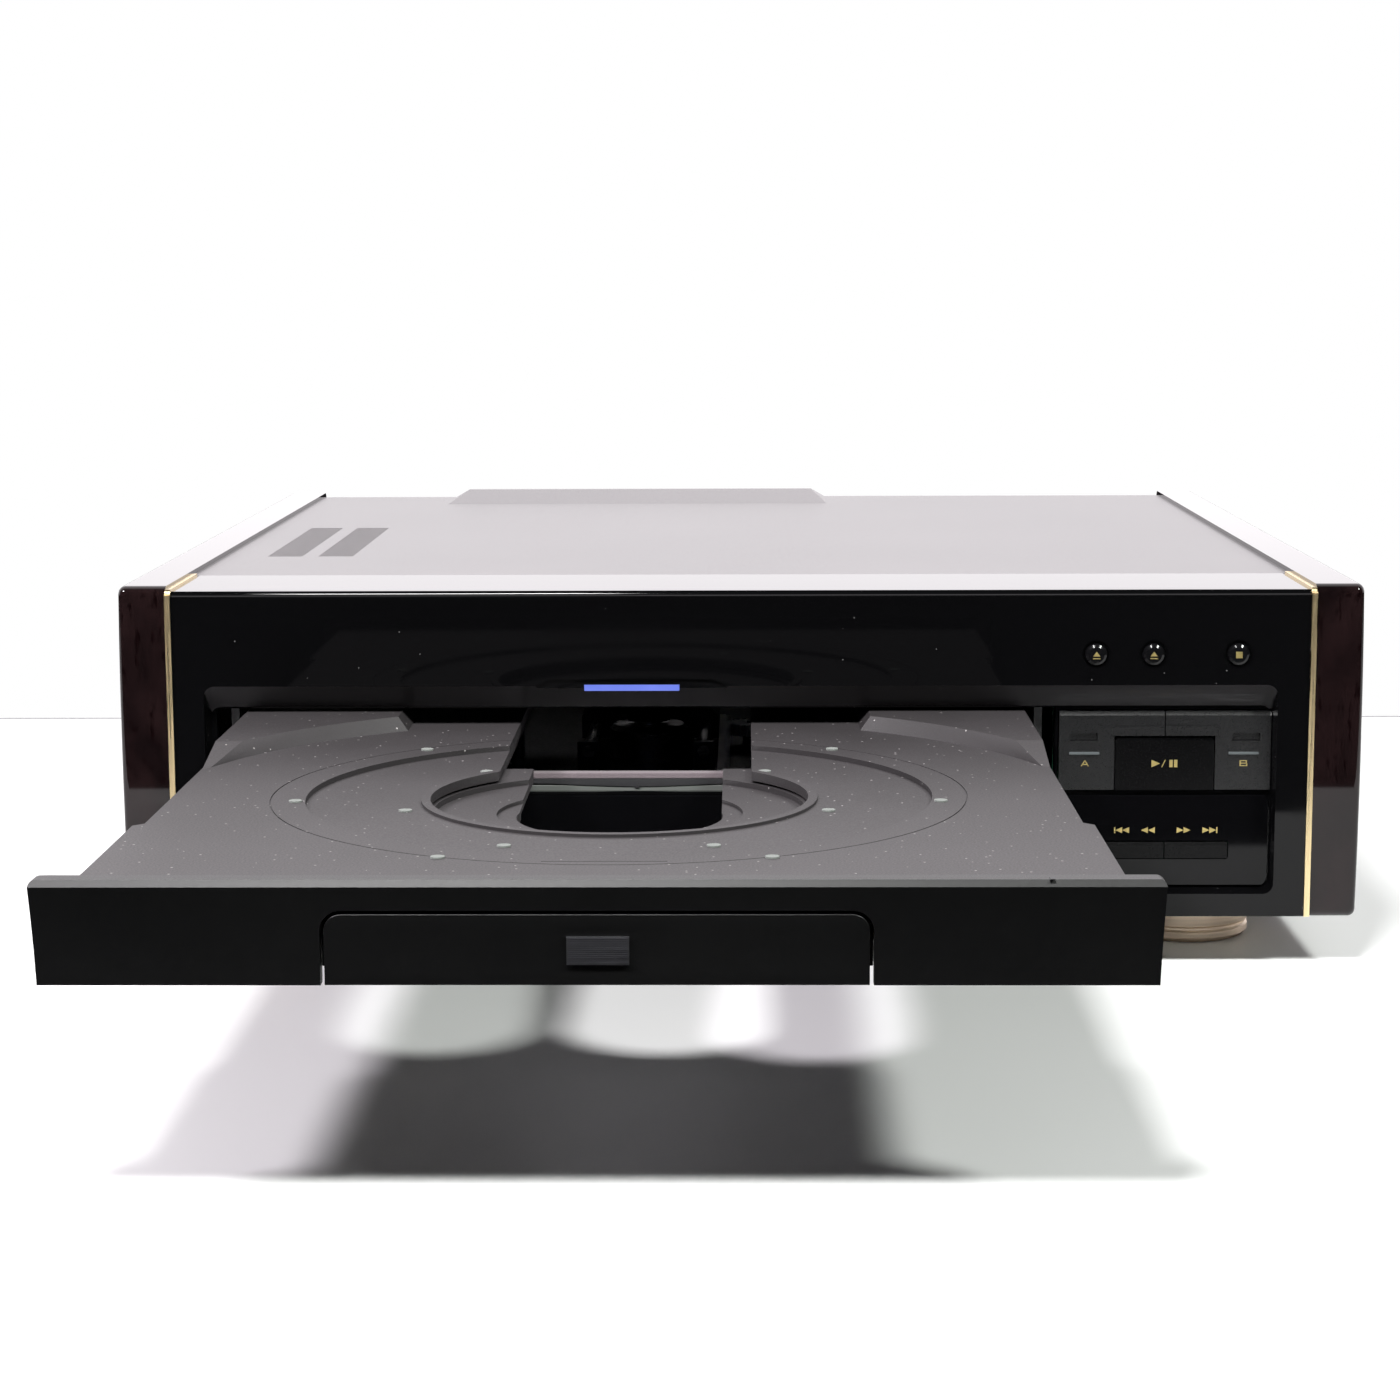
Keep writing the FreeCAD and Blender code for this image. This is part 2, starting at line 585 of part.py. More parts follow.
def make_sockets():
    sockets = []
    root = "rear_face - socket_wide * 1.5"
    for x, z in socket_spots():
        barrel = cylinder(x, root, z, "socket_wide", "socket_wide * 1.5 + socket_long", backward)
        bore = cylinder(x, "rear_face + 1", z, "socket_bore", "socket_long", backward)
        sockets.append(cut("socket", barrel, [bore]))
    edge = "socket_pitch / 2"
    rail = block(f"socket_left - {edge}", f"socket_left + (socket_columns - 0.5) * socket_pitch",
                 f"{root} - socket_rail", root, f"socket_low - {edge}",
                 f"socket_low + (socket_rows - 0.5) * socket_pitch")
    keep(joined("av_sockets", sockets + [rail]), "av_sockets")
    barrel = cylinder("video_spot", "rear_face - 3 * video_well", "socket_middle", "video_wide",
                      "3.5 * video_well", backward)
    well = cylinder("video_spot", "rear_face - video_well * 0.75", "socket_middle",
                    "video_wide - 1.2", "video_well * 1.5", backward)
    keep(cut("s_video_socket", barrel, [well]), "s_video_socket")
    half = "inlet_wide / 2"
    body = block(f"inlet_spot - {half}", f"inlet_spot + {half}", "rear_face - inlet_deep",
                 "rear_face + inlet_wall", "inlet_low", "inlet_low + inlet_high")
    well = block(f"inlet_spot - {half} + inlet_wall", f"inlet_spot + {half} - inlet_wall",
                 "rear_face - inlet_deep + 2 * inlet_wall", "rear_face + inlet_wall + 1",
                 "inlet_low + inlet_wall", "inlet_low + inlet_high - inlet_wall")
    keep(cut("mains_inlet", body, [well]), "mains_inlet")


def make_screws():
    side = "(cover_inner - screw_inset)"
    spots = [(share, "cover_top - 8") for share in (-1, -0.5, 0.5, 1)]
    spots += [(share, "foot_high + 9") for share in (-1, -0.3, 0.3)]
    heads = [cylinder(f"{share} * {side}", "rear_face + rear_thick", z, "screw_wide", "screw_head",
                      backward) for share, z in spots]
    keep(group("cover_screws", heads), "cover_screws")


# ---- front -----------------------------------------------------------------------------------

def make_front_panel():
    body = new_body("front_panel")
    add(body, "YZ_Plane", "-trim_inner", "trim_inner", [
        ("panel_set", "panel_bottom"), ("panel_back", "panel_bottom"),
        ("panel_back", "cover_top - panel_wall"), ("panel_deep", "cover_top - panel_wall"),
        ("panel_deep", "cover_top"), ("panel_set + panel_round", "cover_top", "panel_round", 1),
        ("panel_set", "cover_top - panel_round")])
    cut_recess(body)
    cut_panel_openings(body)
    cut_light_frame(body)
    add_panel_bosses(body)
    seat(body)


def cut_recess(body):
    slope = "recess_edge_slope"
    loft(body, "SubtractiveLoft", "XZ_Plane",
         "panel_set", rounded("-recess_half", "recess_half", "recess_low", "recess_high",
                              "recess_round"),
         "recess_floor", rounded(f"-recess_half + {slope}", f"recess_half - {slope}",
                                 f"recess_low + {slope}", "recess_high - recess_top_slope",
                                 "recess_round"))
    take(body, "XZ_Plane", "panel_set + panel_wall", "panel_back", rectangle(
        "-trim_inner + 4", "key_left - 6", "recess_high + 8", "cover_top - panel_wall"))


def cut_panel_openings(body):
    through = ("XZ_Plane", "recess_floor - 1", "panel_back")
    take(body, *through, rounded(
        "tray_spot - door_half - door_gap", "tray_spot + door_half + door_gap",
        "mouth_low", "mouth_high", "mouth_round"))
    take(body, *through, rectangle(
        "key_left - key_gap", "key_right + key_gap", "key_low - key_gap", "key_high + key_gap"))
    take(body, "XZ_Plane", "recess_floor - 1", "recess_floor + window_seat", rounded(
        "-window_half", "window_half", "window_low", "window_top", "window_round"))
    take(body, *through, rectangle(
        "-window_half + window_ledge", "window_half - window_ledge",
        "window_low + window_ledge", "window_top - window_ledge"))
    spots = ("small_eject_spot", "large_eject_spot", "stop_spot")
    take(body, "XZ_Plane", "panel_set", "panel_back",
         *[(spot, "button_spot", "button_wide + button_gap") for spot in spots])
    take(body, "XZ_Plane", "panel_set", "panel_set + light_sunk",
         *[(spot, "button_spot", "button_wide + button_ring") for spot in spots])


def cut_light_frame(body):
    top = "light_low + light_high + light_frame_rise"
    base = "recess_high - light_frame_base"
    take(body, "XZ_Plane", "panel_set", "panel_set + light_frame_deep", [
        ("light_spot - light_frame / 2 - light_flare", base),
        ("light_spot + light_frame / 2 + light_flare", base),
        ("light_spot + light_frame / 2 + light_flare", "recess_high"),
        ("light_spot + light_frame / 2", top), ("light_spot - light_frame / 2", top),
        ("light_spot - light_frame / 2 - light_flare", "recess_high")])
    take(body, "XZ_Plane", "panel_set", "panel_back", light_outline("window_fit"))


def light_outline(gap):
    return rectangle(f"light_spot - light_wide / 2 - {gap}", f"light_spot + light_wide / 2 + {gap}",
                     f"light_low - {gap}", f"light_low + light_high + {gap}")


# Bosses that carry the display board and the key board, and the walls that guide the keys.
def add_panel_bosses(body):
    spots = [(x, "front_board_low + 3.5") for x in (
        "8.4 - recess_half", "-60", "60", "key_left + 5.9", "key_right + 3.6")]
    spots += [(x, "recess_high + 6") for x in ("key_left + 3.4", "key_right + 3.6")]
    add(body, "XZ_Plane", "panel_back", "front_board", *[(x, z, "boss_wide") for x, z in spots])
    gap = "key_gap"
    outer = f"({gap} + key_wall)"
    add(body, "XZ_Plane", "panel_back - 0.5", "key_face + key_deep + 2", rectangle(
        f"key_left - {outer}", f"key_right + {outer}", f"key_low - {outer}", f"key_high + {outer}"),
        rectangle(f"key_left - {gap}", f"key_right + {gap}", f"key_low - {gap}", f"key_high + {gap}"))


def make_display_window():
    body = new_body("display_window")
    ear = "rocker_pin + ear_wall"
    back = "window_face + window_thick"
    add(body, "XZ_Plane", "window_face", back, rounded(
        "-window_half + window_fit", "window_half - window_fit", "window_low + window_fit",
        "window_top - window_fit", "window_round - window_fit"))
    low = "rocker_low"
    high = "rocker_low + rocker_high"
    for middle in ("left_rocker_spot", "right_rocker_spot"):
        for start, end in ((f"{low} - ear_gap - rocker_ear", f"{low} - ear_gap"),
                           (f"{high} + ear_gap", f"{high} + ear_gap + rocker_ear")):
            add(body, "XY_Plane", start, end, rectangle(
                f"{middle} - {ear}", f"{middle} + {ear}", back, f"rocker_y + {ear}"))
            take(body, "XY_Plane", start, end, (middle, "rocker_y", "rocker_pin + rocker_fit"))
    gap = "panel_key_gap"
    take(body, "XZ_Plane", "window_face", back,
         rounded(f"rocker_left - {gap}", f"rocker_right + {gap}", f"{low} - {gap}",
                 f"{high} + {gap}", "1"),
         rounded(f"power_left - {gap}", f"power_left + power_wide + {gap}", f"{low} - {gap}",
                 f"{high} + {gap}", "1"))
    seat(body)


def make_light_bar():
    body = new_body("light_bar")
    face = "panel_set + light_sunk"
    add(body, "XZ_Plane", face, f"{face} + light_deep", light_outline("0"))
    seat(body)


# ---- keys and buttons ------------------------------------------------------------------------

def make_round_button(label, spot):
    body = new_body(label)
    front = "panel_set - button_proud"
    # The button is turned upright and then laid back, so height here is depth into the panel.
    turned(body, "Revolution", [
        ("0", "0"), ("button_wide - 1.4", "0.25"), ("button_wide - 0.5", "0.8"),
        ("button_wide", "1.6"), ("button_wide", "panel_thick + button_proud + 1"),
        ("stem_thick", "panel_thick + button_proud + 1"),
        ("stem_thick", f"key_face + key_deep + stem_long - ({front})"),
        ("0", f"key_face + key_deep + stem_long - ({front})")])
    body.Placement.Rotation = backward
    seat(body, spot, front, "button_spot")


def key_stem(body, across, up):
    add(body, "XZ_Plane", "key_face + key_deep - 0.5", "key_face + key_deep + stem_long",
        (across, up, "stem_thick"))


# One of the two outer keys, which together wrap over the top of the play key.
def make_outer_key(label, side):
    body = new_body(label)
    split = f"key_split {'+' if side > 0 else '-'} key_gap / 2"
    far = "key_right" if side > 0 else "key_left"
    cheek = f"key_split + {side} * (play_wide / 2 + key_gap)"
    shoulder = "key_low + play_high + key_gap"
    outline = [(far, "key_low"), (cheek, "key_low"), (cheek, shoulder), (split, shoulder),
               (split, "key_high"), (far, "key_high")]
    add(body, "XZ_Plane", "key_face", "key_face + key_deep", outline)
    brow = f"{cheek} + {side} * 1"
    add(body, "XZ_Plane", "key_face - play_proud", "key_face", rectangle(
        brow, split, shoulder, f"{shoulder} + play_frame"))
    near = f"{far} - {side} * ledge_inset"
    reach = f"{near} - {side} * ledge_wide"
    take(body, "XZ_Plane", "key_face", "key_face + ledge_deep", rectangle(
        near, reach, "ledge_low", "ledge_low + ledge_high"))
    key_stem(body, f"{near} - {side} * ledge_wide / 2", "(key_low + key_high) / 2")
    seat(body)


def make_play_key():
    body = new_body("play_key")
    add(body, "XZ_Plane", "key_face - play_proud", "key_face + key_deep", [
        ("key_split - play_wide / 2", "key_low"), ("key_split + play_wide / 2", "key_low"),
        ("key_split + play_wide / 2", "key_low + play_high - play_round", "play_round", -1),
        ("key_split + play_wide / 2 - play_round", "key_low + play_high"),
        ("key_split - play_wide / 2 + play_round", "key_low + play_high", "play_round", -1),
        ("key_split - play_wide / 2", "key_low + play_high - play_round")])
    key_stem(body, "key_split", "key_low + play_high / 2")
    seat(body)


# A rocker turns about an upright pin behind its middle.
def make_rocker(label, middle, end):
    body = new_body(label)
    reach = f"abs({end} - {middle})"
    high = "rocker_low + rocker_high"
    add(body, "XY_Plane", "rocker_low", high, [
        (f"-{reach}", "window_face - rocker_proud - rocker_y"),
        (reach, "window_face - rocker_proud - rocker_y"),
        (reach, "window_face + 2 - rocker_y"), ("rocker_pin + 1", "rocker_pin + 0.8"),
        ("-rocker_pin - 1", "rocker_pin + 0.8"), (f"-{reach}", "window_face + 2 - rocker_y")])
    reach = "ear_gap + rocker_ear"
    add(body, "XY_Plane", f"rocker_low - {reach}", f"{high} + {reach}", ("0", "0", "rocker_pin"))
    seat(body, middle, "rocker_y")


def make_power_key():
    body = new_body("power_key")
    add(body, "XZ_Plane", "window_face - rocker_proud", "key_face + key_deep", rectangle(
        "power_left", "power_left + power_wide", "rocker_low", "rocker_low + rocker_high"))
    key_stem(body, "power_left + power_wide / 2", "rocker_low + rocker_high / 2")
    seat(body)


def make_controls():
    make_round_button("small_disc_eject_button", "small_eject_spot")
    make_round_button("large_disc_eject_button", "large_eject_spot")
    make_round_button("stop_button", "stop_spot")
    make_outer_key("key_a", -1)
    make_outer_key("key_b", 1)
    make_play_key()
    make_rocker("rocker_left", "left_rocker_spot", "rocker_left")
    make_rocker("rocker_right", "right_rocker_spot", "rocker_right")
    make_power_key()


# ---- trays -----------------------------------------------------------------------------------

# The tray pieces are drawn about the tray's own centre line.

def make_large_tray():
    body = new_body("large_tray")
    add(body, "XY_Plane", "tray_under", "tray_top", large_tray_outline())
    wing = loft(body, "AdditiveLoft", "XY_Plane", "tray_top", wing_outline("0", "0"),
                "tray_top + wing_high", wing_outline("wing_lean", "wing_slope"))
    mirror(body, [wing], "YZ_Plane")
    take(body, "XY_Plane", "eight_top", "tray_top + wing_high", ("0", "disc_open", "recess_eight"))
    line = "tray_top - groove_deep"
    take(body, "XY_Plane", line, "tray_top + 1", ("0", "disc_open", "ring_groove"),
         ("0", "disc_open", "ring_groove - groove_wide"))
    mark = "disc_open - mark_set"
    take(body, "XY_Plane", line, "tray_top + 1", rectangle(
        "-mark_long / 2", "mark_long / 2", mark, f"{mark} + groove_wide"))
    add(body, "XY_Plane", "tray_under", "eight_top + lip_rise", ("0", "disc_open", "lip_outer"))
    take(body, "XY_Plane", "tray_under - 1", "tray_top + 1", ("0", "disc_open", "lip_inner"))
    take(body, "XY_Plane", "tray_under - 1", "tray_top + 1", rectangle(
        "-large_slot", "large_slot", "disc_open", "tray_rear + 1"))
    add(body, "XY_Plane", "tray_under - skirt_high", "tray_under", rectangle(
        "skirt_spot", "skirt_spot + skirt_thick", "door_rear + 4", "tray_rear - 4"))
    rail_wall = add(body, "XY_Plane", "rail_low", "tray_under", rectangle(
        "rail_inner", "rail_inner + rail_thick", "door_rear", "tray_rear - 8"))
    shelf = add(body, "XY_Plane", "rail_low", "rail_low + rail_shelf", rectangle(
        "rail_inner - 3", "rail_inner", "door_rear", "tray_rear - 8"))
    mirror(body, [rail_wall, shelf], "YZ_Plane")
    seat(body, "tray_spot")


def large_tray_outline():
    return [
        ("-tray_half", "door_rear"), ("tray_half", "door_rear"), ("tray_half", "step_y"),
        ("rear_half", "step_y + tray_step"), ("rear_half", "tray_rear - tray_round"),
        ("rear_half - tray_round", "tray_rear"), ("-rear_half + tray_round", "tray_rear"),
        ("-rear_half", "tray_rear - tray_round"), ("-rear_half", "step_y + tray_step"),
        ("-tray_half", "step_y")]


# The raised corner outside the large disc's circle, drawn in by a lean along its wall and by a
# slope at its front tip.
def wing_outline(lean, slope):
    radius = f"(recess_twelve + {lean})"

    def arc_y(reach):
        return f"disc_open + sqrt({radius} ^ 2 - ({reach}) ^ 2)"
    tip = f"(disc_open + wing_set + {slope})"
    inner = f"(wing_inner + {lean})"
    return [
        ("rear_half", tip), ("rear_half", "tray_rear - tray_round"),
        ("rear_half - tray_round", "tray_rear"), (inner, "tray_rear"),
        (inner, arc_y(inner), radius, 1), (f"sqrt({radius} ^ 2 - ({tip} - (disc_open)) ^ 2)", tip)]


# The section of both tray doors: a hollow face that leans forward to its top edge, a bevelled
# brow and a gently sloping top.
def door_section(thick):
    return [
        ("door_front + door_hollow", "door_low", "door_curve", -1),
        ("door_front", "door_high - door_bevel"), ("door_front + 1.2", "door_high - door_lean"),
        (f"door_front + {thick}", "door_high"), (f"door_front + {thick}", "door_low")]


# Trims a door to an outline seen from in front.
def trim_door(body, outline):
    take(body, "XZ_Plane", "door_front - 1", "door_rear + 1", rectangle(
        "-door_half - 5", "door_half + 5", "door_low - 5", "door_high + 5"), outline)


def make_large_tray_door():
    body = new_body("large_tray_door")
    add(body, "YZ_Plane", "-door_half", "door_half", door_section("door_thick"))
    trim_door(body, [
        ("-door_half + door_taper", "door_low"), ("door_half - door_taper", "door_low"),
        ("door_half", "door_high - door_round", "door_round", -1),
        ("door_half - door_round", "door_high"),
        ("-door_half + door_round", "door_high", "door_round", -1),
        ("-door_half", "door_high - door_round")])
    gap = "small_door_gap"
    half = f"(small_door_half + {gap})"
    top = f"(door_low + small_door_high + {gap})"
    curve = f"(small_door_round + {gap})"
    take(body, "XZ_Plane", "door_front - 1", "door_rear + 1", [
        (f"-{half}", "door_low - 1"), (half, "door_low - 1"),
        (half, f"{top} - {curve}", curve, -1), (f"{half} - {curve}", top),
        (f"-{half} + {curve}", top, curve, -1), (f"-{half}", f"{top} - {curve}")])
    seat(body, "tray_spot")


def make_small_tray_door():
    body = new_body("small_tray_door")
    add(body, "YZ_Plane", "-small_door_half", "small_door_half", door_section("small_door_thick"))
    top = "(door_low + small_door_high)"
    curve = "small_door_round"
    half = "small_door_half"
    trim_door(body, [
        (f"-{half}", "door_low"), (half, "door_low"), (half, f"{top} - {curve}", curve, -1),
        (f"{half} - {curve}", top), (f"-{half} + {curve}", top, curve, -1),
        (f"-{half}", f"{top} - {curve}")])
    seat(body, "tray_spot")


def make_large_tray_pads():
    # each as (reach from the disc's middle in parts of its recess, degrees from straight back)
    outer = [(0.73, 40.8), (0.697, 98.2), (0.757, 154.6)]
    inner = [(0.668, 44.5), (0.698, 108), (0.824, 157.9)]
    pads = []
    for spots, recess, level in ((outer, "recess_twelve", "tray_top"),
                                 (inner, "recess_eight", "eight_top")):
        for reach, turn in spots:
            for side in (-1, 1):
                across = f"tray_spot + {side} * {reach} * {recess} * sin({turn} deg)"
                back = f"disc_open + {reach} * {recess} * cos({turn} deg)"
                pads.append(cylinder(across, back, level, "pad_wide", "pad_thick"))
    keep(group("large_tray_pads", pads), "large_tray_pads")


def make_small_tray():
    body = new_body("small_tray")
    front = "door_front + small_door_thick"
    under = "small_low + small_thick / 3"
    add(body, "XY_Plane", "small_low", "small_top", rectangle(
        "-small_half", "small_half", front, "small_rear"))
    add(body, "XY_Plane", "small_low", under, rectangle(
        "-flange_half", "flange_half", f"{front} + 4", "small_rear"))
    take(body, "XY_Plane", "small_top - five_deep", "small_top", ("0", "disc_open", "recess_five"))
    floor = "small_top - five_deep - three_deep"
    take(body, "XY_Plane", floor, "small_top", ("0", "disc_open", "recess_three"))
    take(body, "XY_Plane", "small_low", f"{floor} - small_skin", rectangle(
        "-small_half + small_skin", "small_half - small_skin", f"{front} + small_skin",
        "small_rear - small_skin"))
    add(body, "XY_Plane", "small_low", f"{floor} - small_skin",
        ("0", "disc_open", "small_hole + small_skin"))
    take(body, "XY_Plane", "small_low - 1", "small_top", ("0", "disc_open", "small_hole"))
    take(body, "XY_Plane", "small_low - 1", "small_top", rectangle(
        "-small_slot", "small_slot", "disc_open", "small_rear + 1"))
    seat(body, "tray_spot")


# ---- gears, racks and belt -------------------------------------------------------------------

# Pressure angle of all the teeth, and how far a tooth stands over and under its pitch line.
pressure = math.radians(20)
tooth_over = 0.9
tooth_under = 1.2


def face_of(points):
    corners = [FreeCAD.Vector(*point) for point in points]
    return Part.Face(Part.makePolygon(corners + corners[:1]))


# The outline of a spur gear about the origin, with a gap towards -X. Each flank is drawn through
# its points on the base, pitch and tip circles.
def gear_face(module, teeth, play):
    pitch = module * teeth / 2
    base = pitch * math.cos(pressure)
    tip = pitch + module * tooth_over
    root = pitch - module * tooth_under
    half_pitch = (math.pi * module / 2 - play) / pitch / 2
    inv = math.tan(pressure) - pressure

    def half_angle(radius):
        slope = math.acos(min(base / radius, 1))
        return half_pitch + inv - (math.tan(slope) - slope)

    flank = [(root, half_angle(base)), (base, half_angle(base)), (pitch, half_pitch),
             (tip, half_angle(tip))]
    points = []
    for tooth in range(teeth):
        middle = math.pi + (tooth + 0.5) * 2 * math.pi / teeth
        for radius, angle in flank:
            points.append((radius * math.cos(middle - angle), radius * math.sin(middle - angle), 0))
        for radius, angle in reversed(flank):
            points.append((radius * math.cos(middle + angle), radius * math.sin(middle + angle), 0))
    return face_of(points)


def disc(radius, low, high):
    return Part.makeCylinder(radius, high - low, FreeCAD.Vector(0, 0, low))


# Keeps a piece whose shape was made from the sheet's values, at a place given by formulas.
def keep_shape(label, shape, across="0", back="0", up="0"):
    piece = doc.addObject("Part::Feature", label)
    piece.Shape = shape
    nodes.append(piece)
    seat(piece, across, back, up)


# A rack along Y with its back at x = 0, teeth towards +X and one tooth's middle at y = 0.
def rack_shape(module, back_thick, thick, front, rear, play):
    step = math.pi * module
    line = back_thick + module * tooth_under
    slope = math.tan(pressure) * module
    half = (step / 2 - play) / 2
    first = math.ceil((front + half * 2) / step)
    last = math.floor((rear - half * 2) / step)
    points = [(0, rear, 0), (0, front, 0), (back_thick, front, 0)]
    for tooth in range(first, last + 1):
        middle = tooth * step
        foot = half + slope * tooth_under
        head = half - slope * tooth_over
        points += [(back_thick, middle - foot, 0), (line + module * tooth_over, middle - head, 0),
                   (line + module * tooth_over, middle + head, 0), (back_thick, middle + foot, 0)]
    points.append((back_thick, rear, 0))
    return face_of(points).extrude(FreeCAD.Vector(0, 0, thick))


def make_tray_rack():
    module = value("gear_module")
    line = value("gear_x - gear_pitch - tray_spot + skirt_spot")
    thick = value("gear_thick + 1.5")
    spot = value("gear_spot")
    front = value("gear_spot - tray_travel - 12") - spot
    rear = value("tray_rear - 4") - spot
    back = line + 4 - module * tooth_under
    shape = rack_shape(module, back, thick, front, rear, value("gear_play"))
    keep_shape("tray_rack", shape, "tray_spot - skirt_spot - 4", "gear_spot", "gear_low")


def make_drive_gear():
    gear = gear_face(value("gear_module"), int(value("gear_teeth")), value("gear_play"))
    low = value("gear_low")
    bottom = value("pulley_low")
    shape = gear.extrude(FreeCAD.Vector(0, 0, value("gear_thick")))
    shape.translate(FreeCAD.Vector(0, 0, low))
    top = bottom + value("pulley_thick")
    hub = disc(value("gear_pitch - 4"), top, low)
    shape = shape.fuse([pulley(value("pulley_wide"), bottom, top), hub])
    bore = disc(value("gear_post + gear_fit"), bottom - 1, low + value("gear_thick") + 1)
    keep_shape("drive_gear", shape.cut(bore).removeSplitter(), "gear_x", "gear_spot")


# A belt pulley with a flange at each side of the belt.
def pulley(radius, low, high):
    flange = value("pulley_flange")
    rim = value("belt_low - pulley_low - 0.3")
    body = disc(radius, low, high)
    return body.fuse([disc(radius + flange, low, low + rim), disc(radius + flange, high - rim, high)])


def make_motor_pulley():
    low = value("pulley_low")
    high = low + value("pulley_thick")
    shape = pulley(value("motor_pulley_wide"), low, high)
    bore = disc(value("shaft_thick + shaft_fit"), low - 1, high - 1)
    keep_shape("motor_pulley", shape.cut(bore).removeSplitter(), "gear_x", "motor_y")


# The belt runs straight between its two pulleys, where it leaves each at the same angle.
def belt_outline(extra):
    big = f"(pulley_wide + {extra})"
    small = f"(motor_pulley_wide + {extra})"
    lean = "(pulley_wide - motor_pulley_wide) / belt_reach"
    across = f"sqrt(1 - ({lean}) ^ 2)"
    big_x, big_y = f"{big} * {across}", f"{big} * {lean}"
    small_x, small_y = f"{small} * {across}", f"belt_reach + {small} * {lean}"
    return [
        (f"-{big_x}", big_y, big, -1), ("0", f"-{big}", big, -1), (big_x, big_y),
        (small_x, small_y, small, -1), ("0", f"belt_reach + {small}", small, -1),
        (f"-{small_x}", small_y)]


def make_drive_belt():
    body = new_body("drive_belt")
    add(body, "XY_Plane", "0", "belt_high", belt_outline("belt_gap + belt_thick"),
        belt_outline("belt_gap"))
    seat(body, "gear_x", "gear_spot", "belt_low")


def make_loading_motor():
    low = "bracket_high - bracket_thick - motor_long"
    can = cylinder("gear_x", "motor_y", low, "motor_wide", "motor_long")
    nose = cylinder("gear_x", "motor_y", "bracket_high - bracket_thick", "3", "bracket_thick")
    shaft = cylinder("gear_x", "motor_y", low, "shaft_thick",
                     "pulley_low + pulley_thick - 1.5 - (bracket_high - bracket_thick - motor_long)")
    keep(joined("loading_motor", [can, nose, shaft]), "loading_motor")


# ---- loader ----------------------------------------------------------------------------------

def make_loader_frame():
    body = new_body("loader_frame")
    wall = add(body, "YZ_Plane", "guide_inner", "guide_outer", [
        ("guide_front", "beam_high"), ("front_board + 6", "beam_high"),
        ("front_board + 6", "floor_top"), ("guide_rear", "floor_top"),
        ("guide_rear", "lip_top"), ("guide_front", "lip_top")])
    shelf = add(body, "YZ_Plane", "guide_inner - shelf_wide", "guide_inner", rectangle(
        "guide_front", "guide_rear", "shelf_top - shelf_thick", "shelf_top"))
    lip = add(body, "YZ_Plane", "guide_inner - shelf_wide / 2", "guide_inner", rectangle(
        "guide_front", "guide_rear", "lip_low", "lip_top"))
    mirror(body, [wall, shelf, lip], "YZ_Plane")
    for front in ("guide_front + 4", "guide_rear - beam_wide"):
        add(body, "YZ_Plane", "-guide_inner", "guide_inner", rectangle(
            front, f"{front} + beam_wide", "beam_high", "beam_high + beam_thick"))
    add(body, "XY_Plane", "bracket_high - bracket_thick", "bracket_high", rectangle(
        "-guide_inner", "gear_x - tray_spot + gear_pitch + 8", "guide_front + 4",
        "motor_y + motor_wide + 4"))
    post = ("gear_x - tray_spot", "gear_spot", "gear_post")
    add(body, "XY_Plane", "bracket_high", "gear_low + gear_thick + 0.8", post)
    add(body, "XY_Plane", "bracket_high", "pulley_low - 0.3",
        ("gear_x - tray_spot", "gear_spot", "gear_post + 2"))
    take(body, "XY_Plane", "bracket_high - bracket_thick", "bracket_high",
         ("gear_x - tray_spot", "motor_y", "3"))
    window = take(body, "YZ_Plane", "-guide_outer", "guide_outer", rounded(
        "guide_front + wall_window", "guide_front + 2 * wall_window", "floor_top + 10",
        "beam_high - 8", "4"))
    repeat(body, window, "Y_Axis", "wall_window_pitch", "wall_window_count")
    seat(body, "tray_spot")


def make_clamp_bridge():
    body = new_body("clamp_bridge")
    front = "disc_closed - bridge_wide / 2"
    rear = "disc_closed + bridge_wide / 2"
    top = "bridge_high + bridge_thick"
    foot = "lip_top + bridge_thick"
    half = "guide_outer"
    add(body, "XZ_Plane", front, rear, [
        (f"-{half}", "lip_top"), (f"-{half} + 8", "lip_top"), (f"-{half} + 14", "bridge_high"),
        (f"{half} - 14", "bridge_high"), (f"{half} - 8", "lip_top"), (half, "lip_top"),
        (half, foot), (f"{half} - 7", foot), (f"{half} - 13", top), (f"-{half} + 13", top),
        (f"-{half} + 7", foot), (f"-{half}", foot)])
    for start in (front, f"{rear} - bridge_thick"):
        add(body, "XZ_Plane", start, f"{start} + bridge_thick", rectangle(
            f"-{half} + 14", f"{half} - 14", "bridge_high", "bridge_high + bridge_rib"))
    take(body, "XY_Plane", "bridge_high", top, ("0", "disc_closed", "clamper_neck + clamper_play"))
    for spot in ("-rear_half / 2", "rear_half / 2"):
        take(body, "XY_Plane", "bridge_high", top, rounded(
            f"{spot} - 24", f"{spot} + 24", "disc_closed - 10", "disc_closed + 10", "4"))
    seat(body, "tray_spot")


def make_clamper():
    body = new_body("clamper")
    high = "clamper_low + clamper_thick"
    cap = "bridge_high + bridge_thick + clamper_gap"
    hollow = "clamper_low + hollow_deep"
    turned(body, "Revolution", [
        ("0", hollow), ("clamper_hollow", hollow), ("clamper_hollow", "clamper_low"),
        ("clamper_wide - 1", "clamper_low"), ("clamper_wide", "clamper_low + 1"),
        ("clamper_wide", high), ("clamper_neck", high), ("clamper_neck", cap),
        ("clamper_cap", cap), ("clamper_cap", f"{cap} + 1.6"), ("clamper_cap - 2", f"{cap} + 2.2"),
        ("0", f"{cap} + 2.2")])
    seat(body, "tray_spot", "disc_closed")


# ---- disc drive ------------------------------------------------------------------------------

def post_spots():
    ends = ("deck_front + post_inset", "deck_rear - post_inset")
    return [(f"{side} * post_spot", end) for side in (-1, 1) for end in ends]


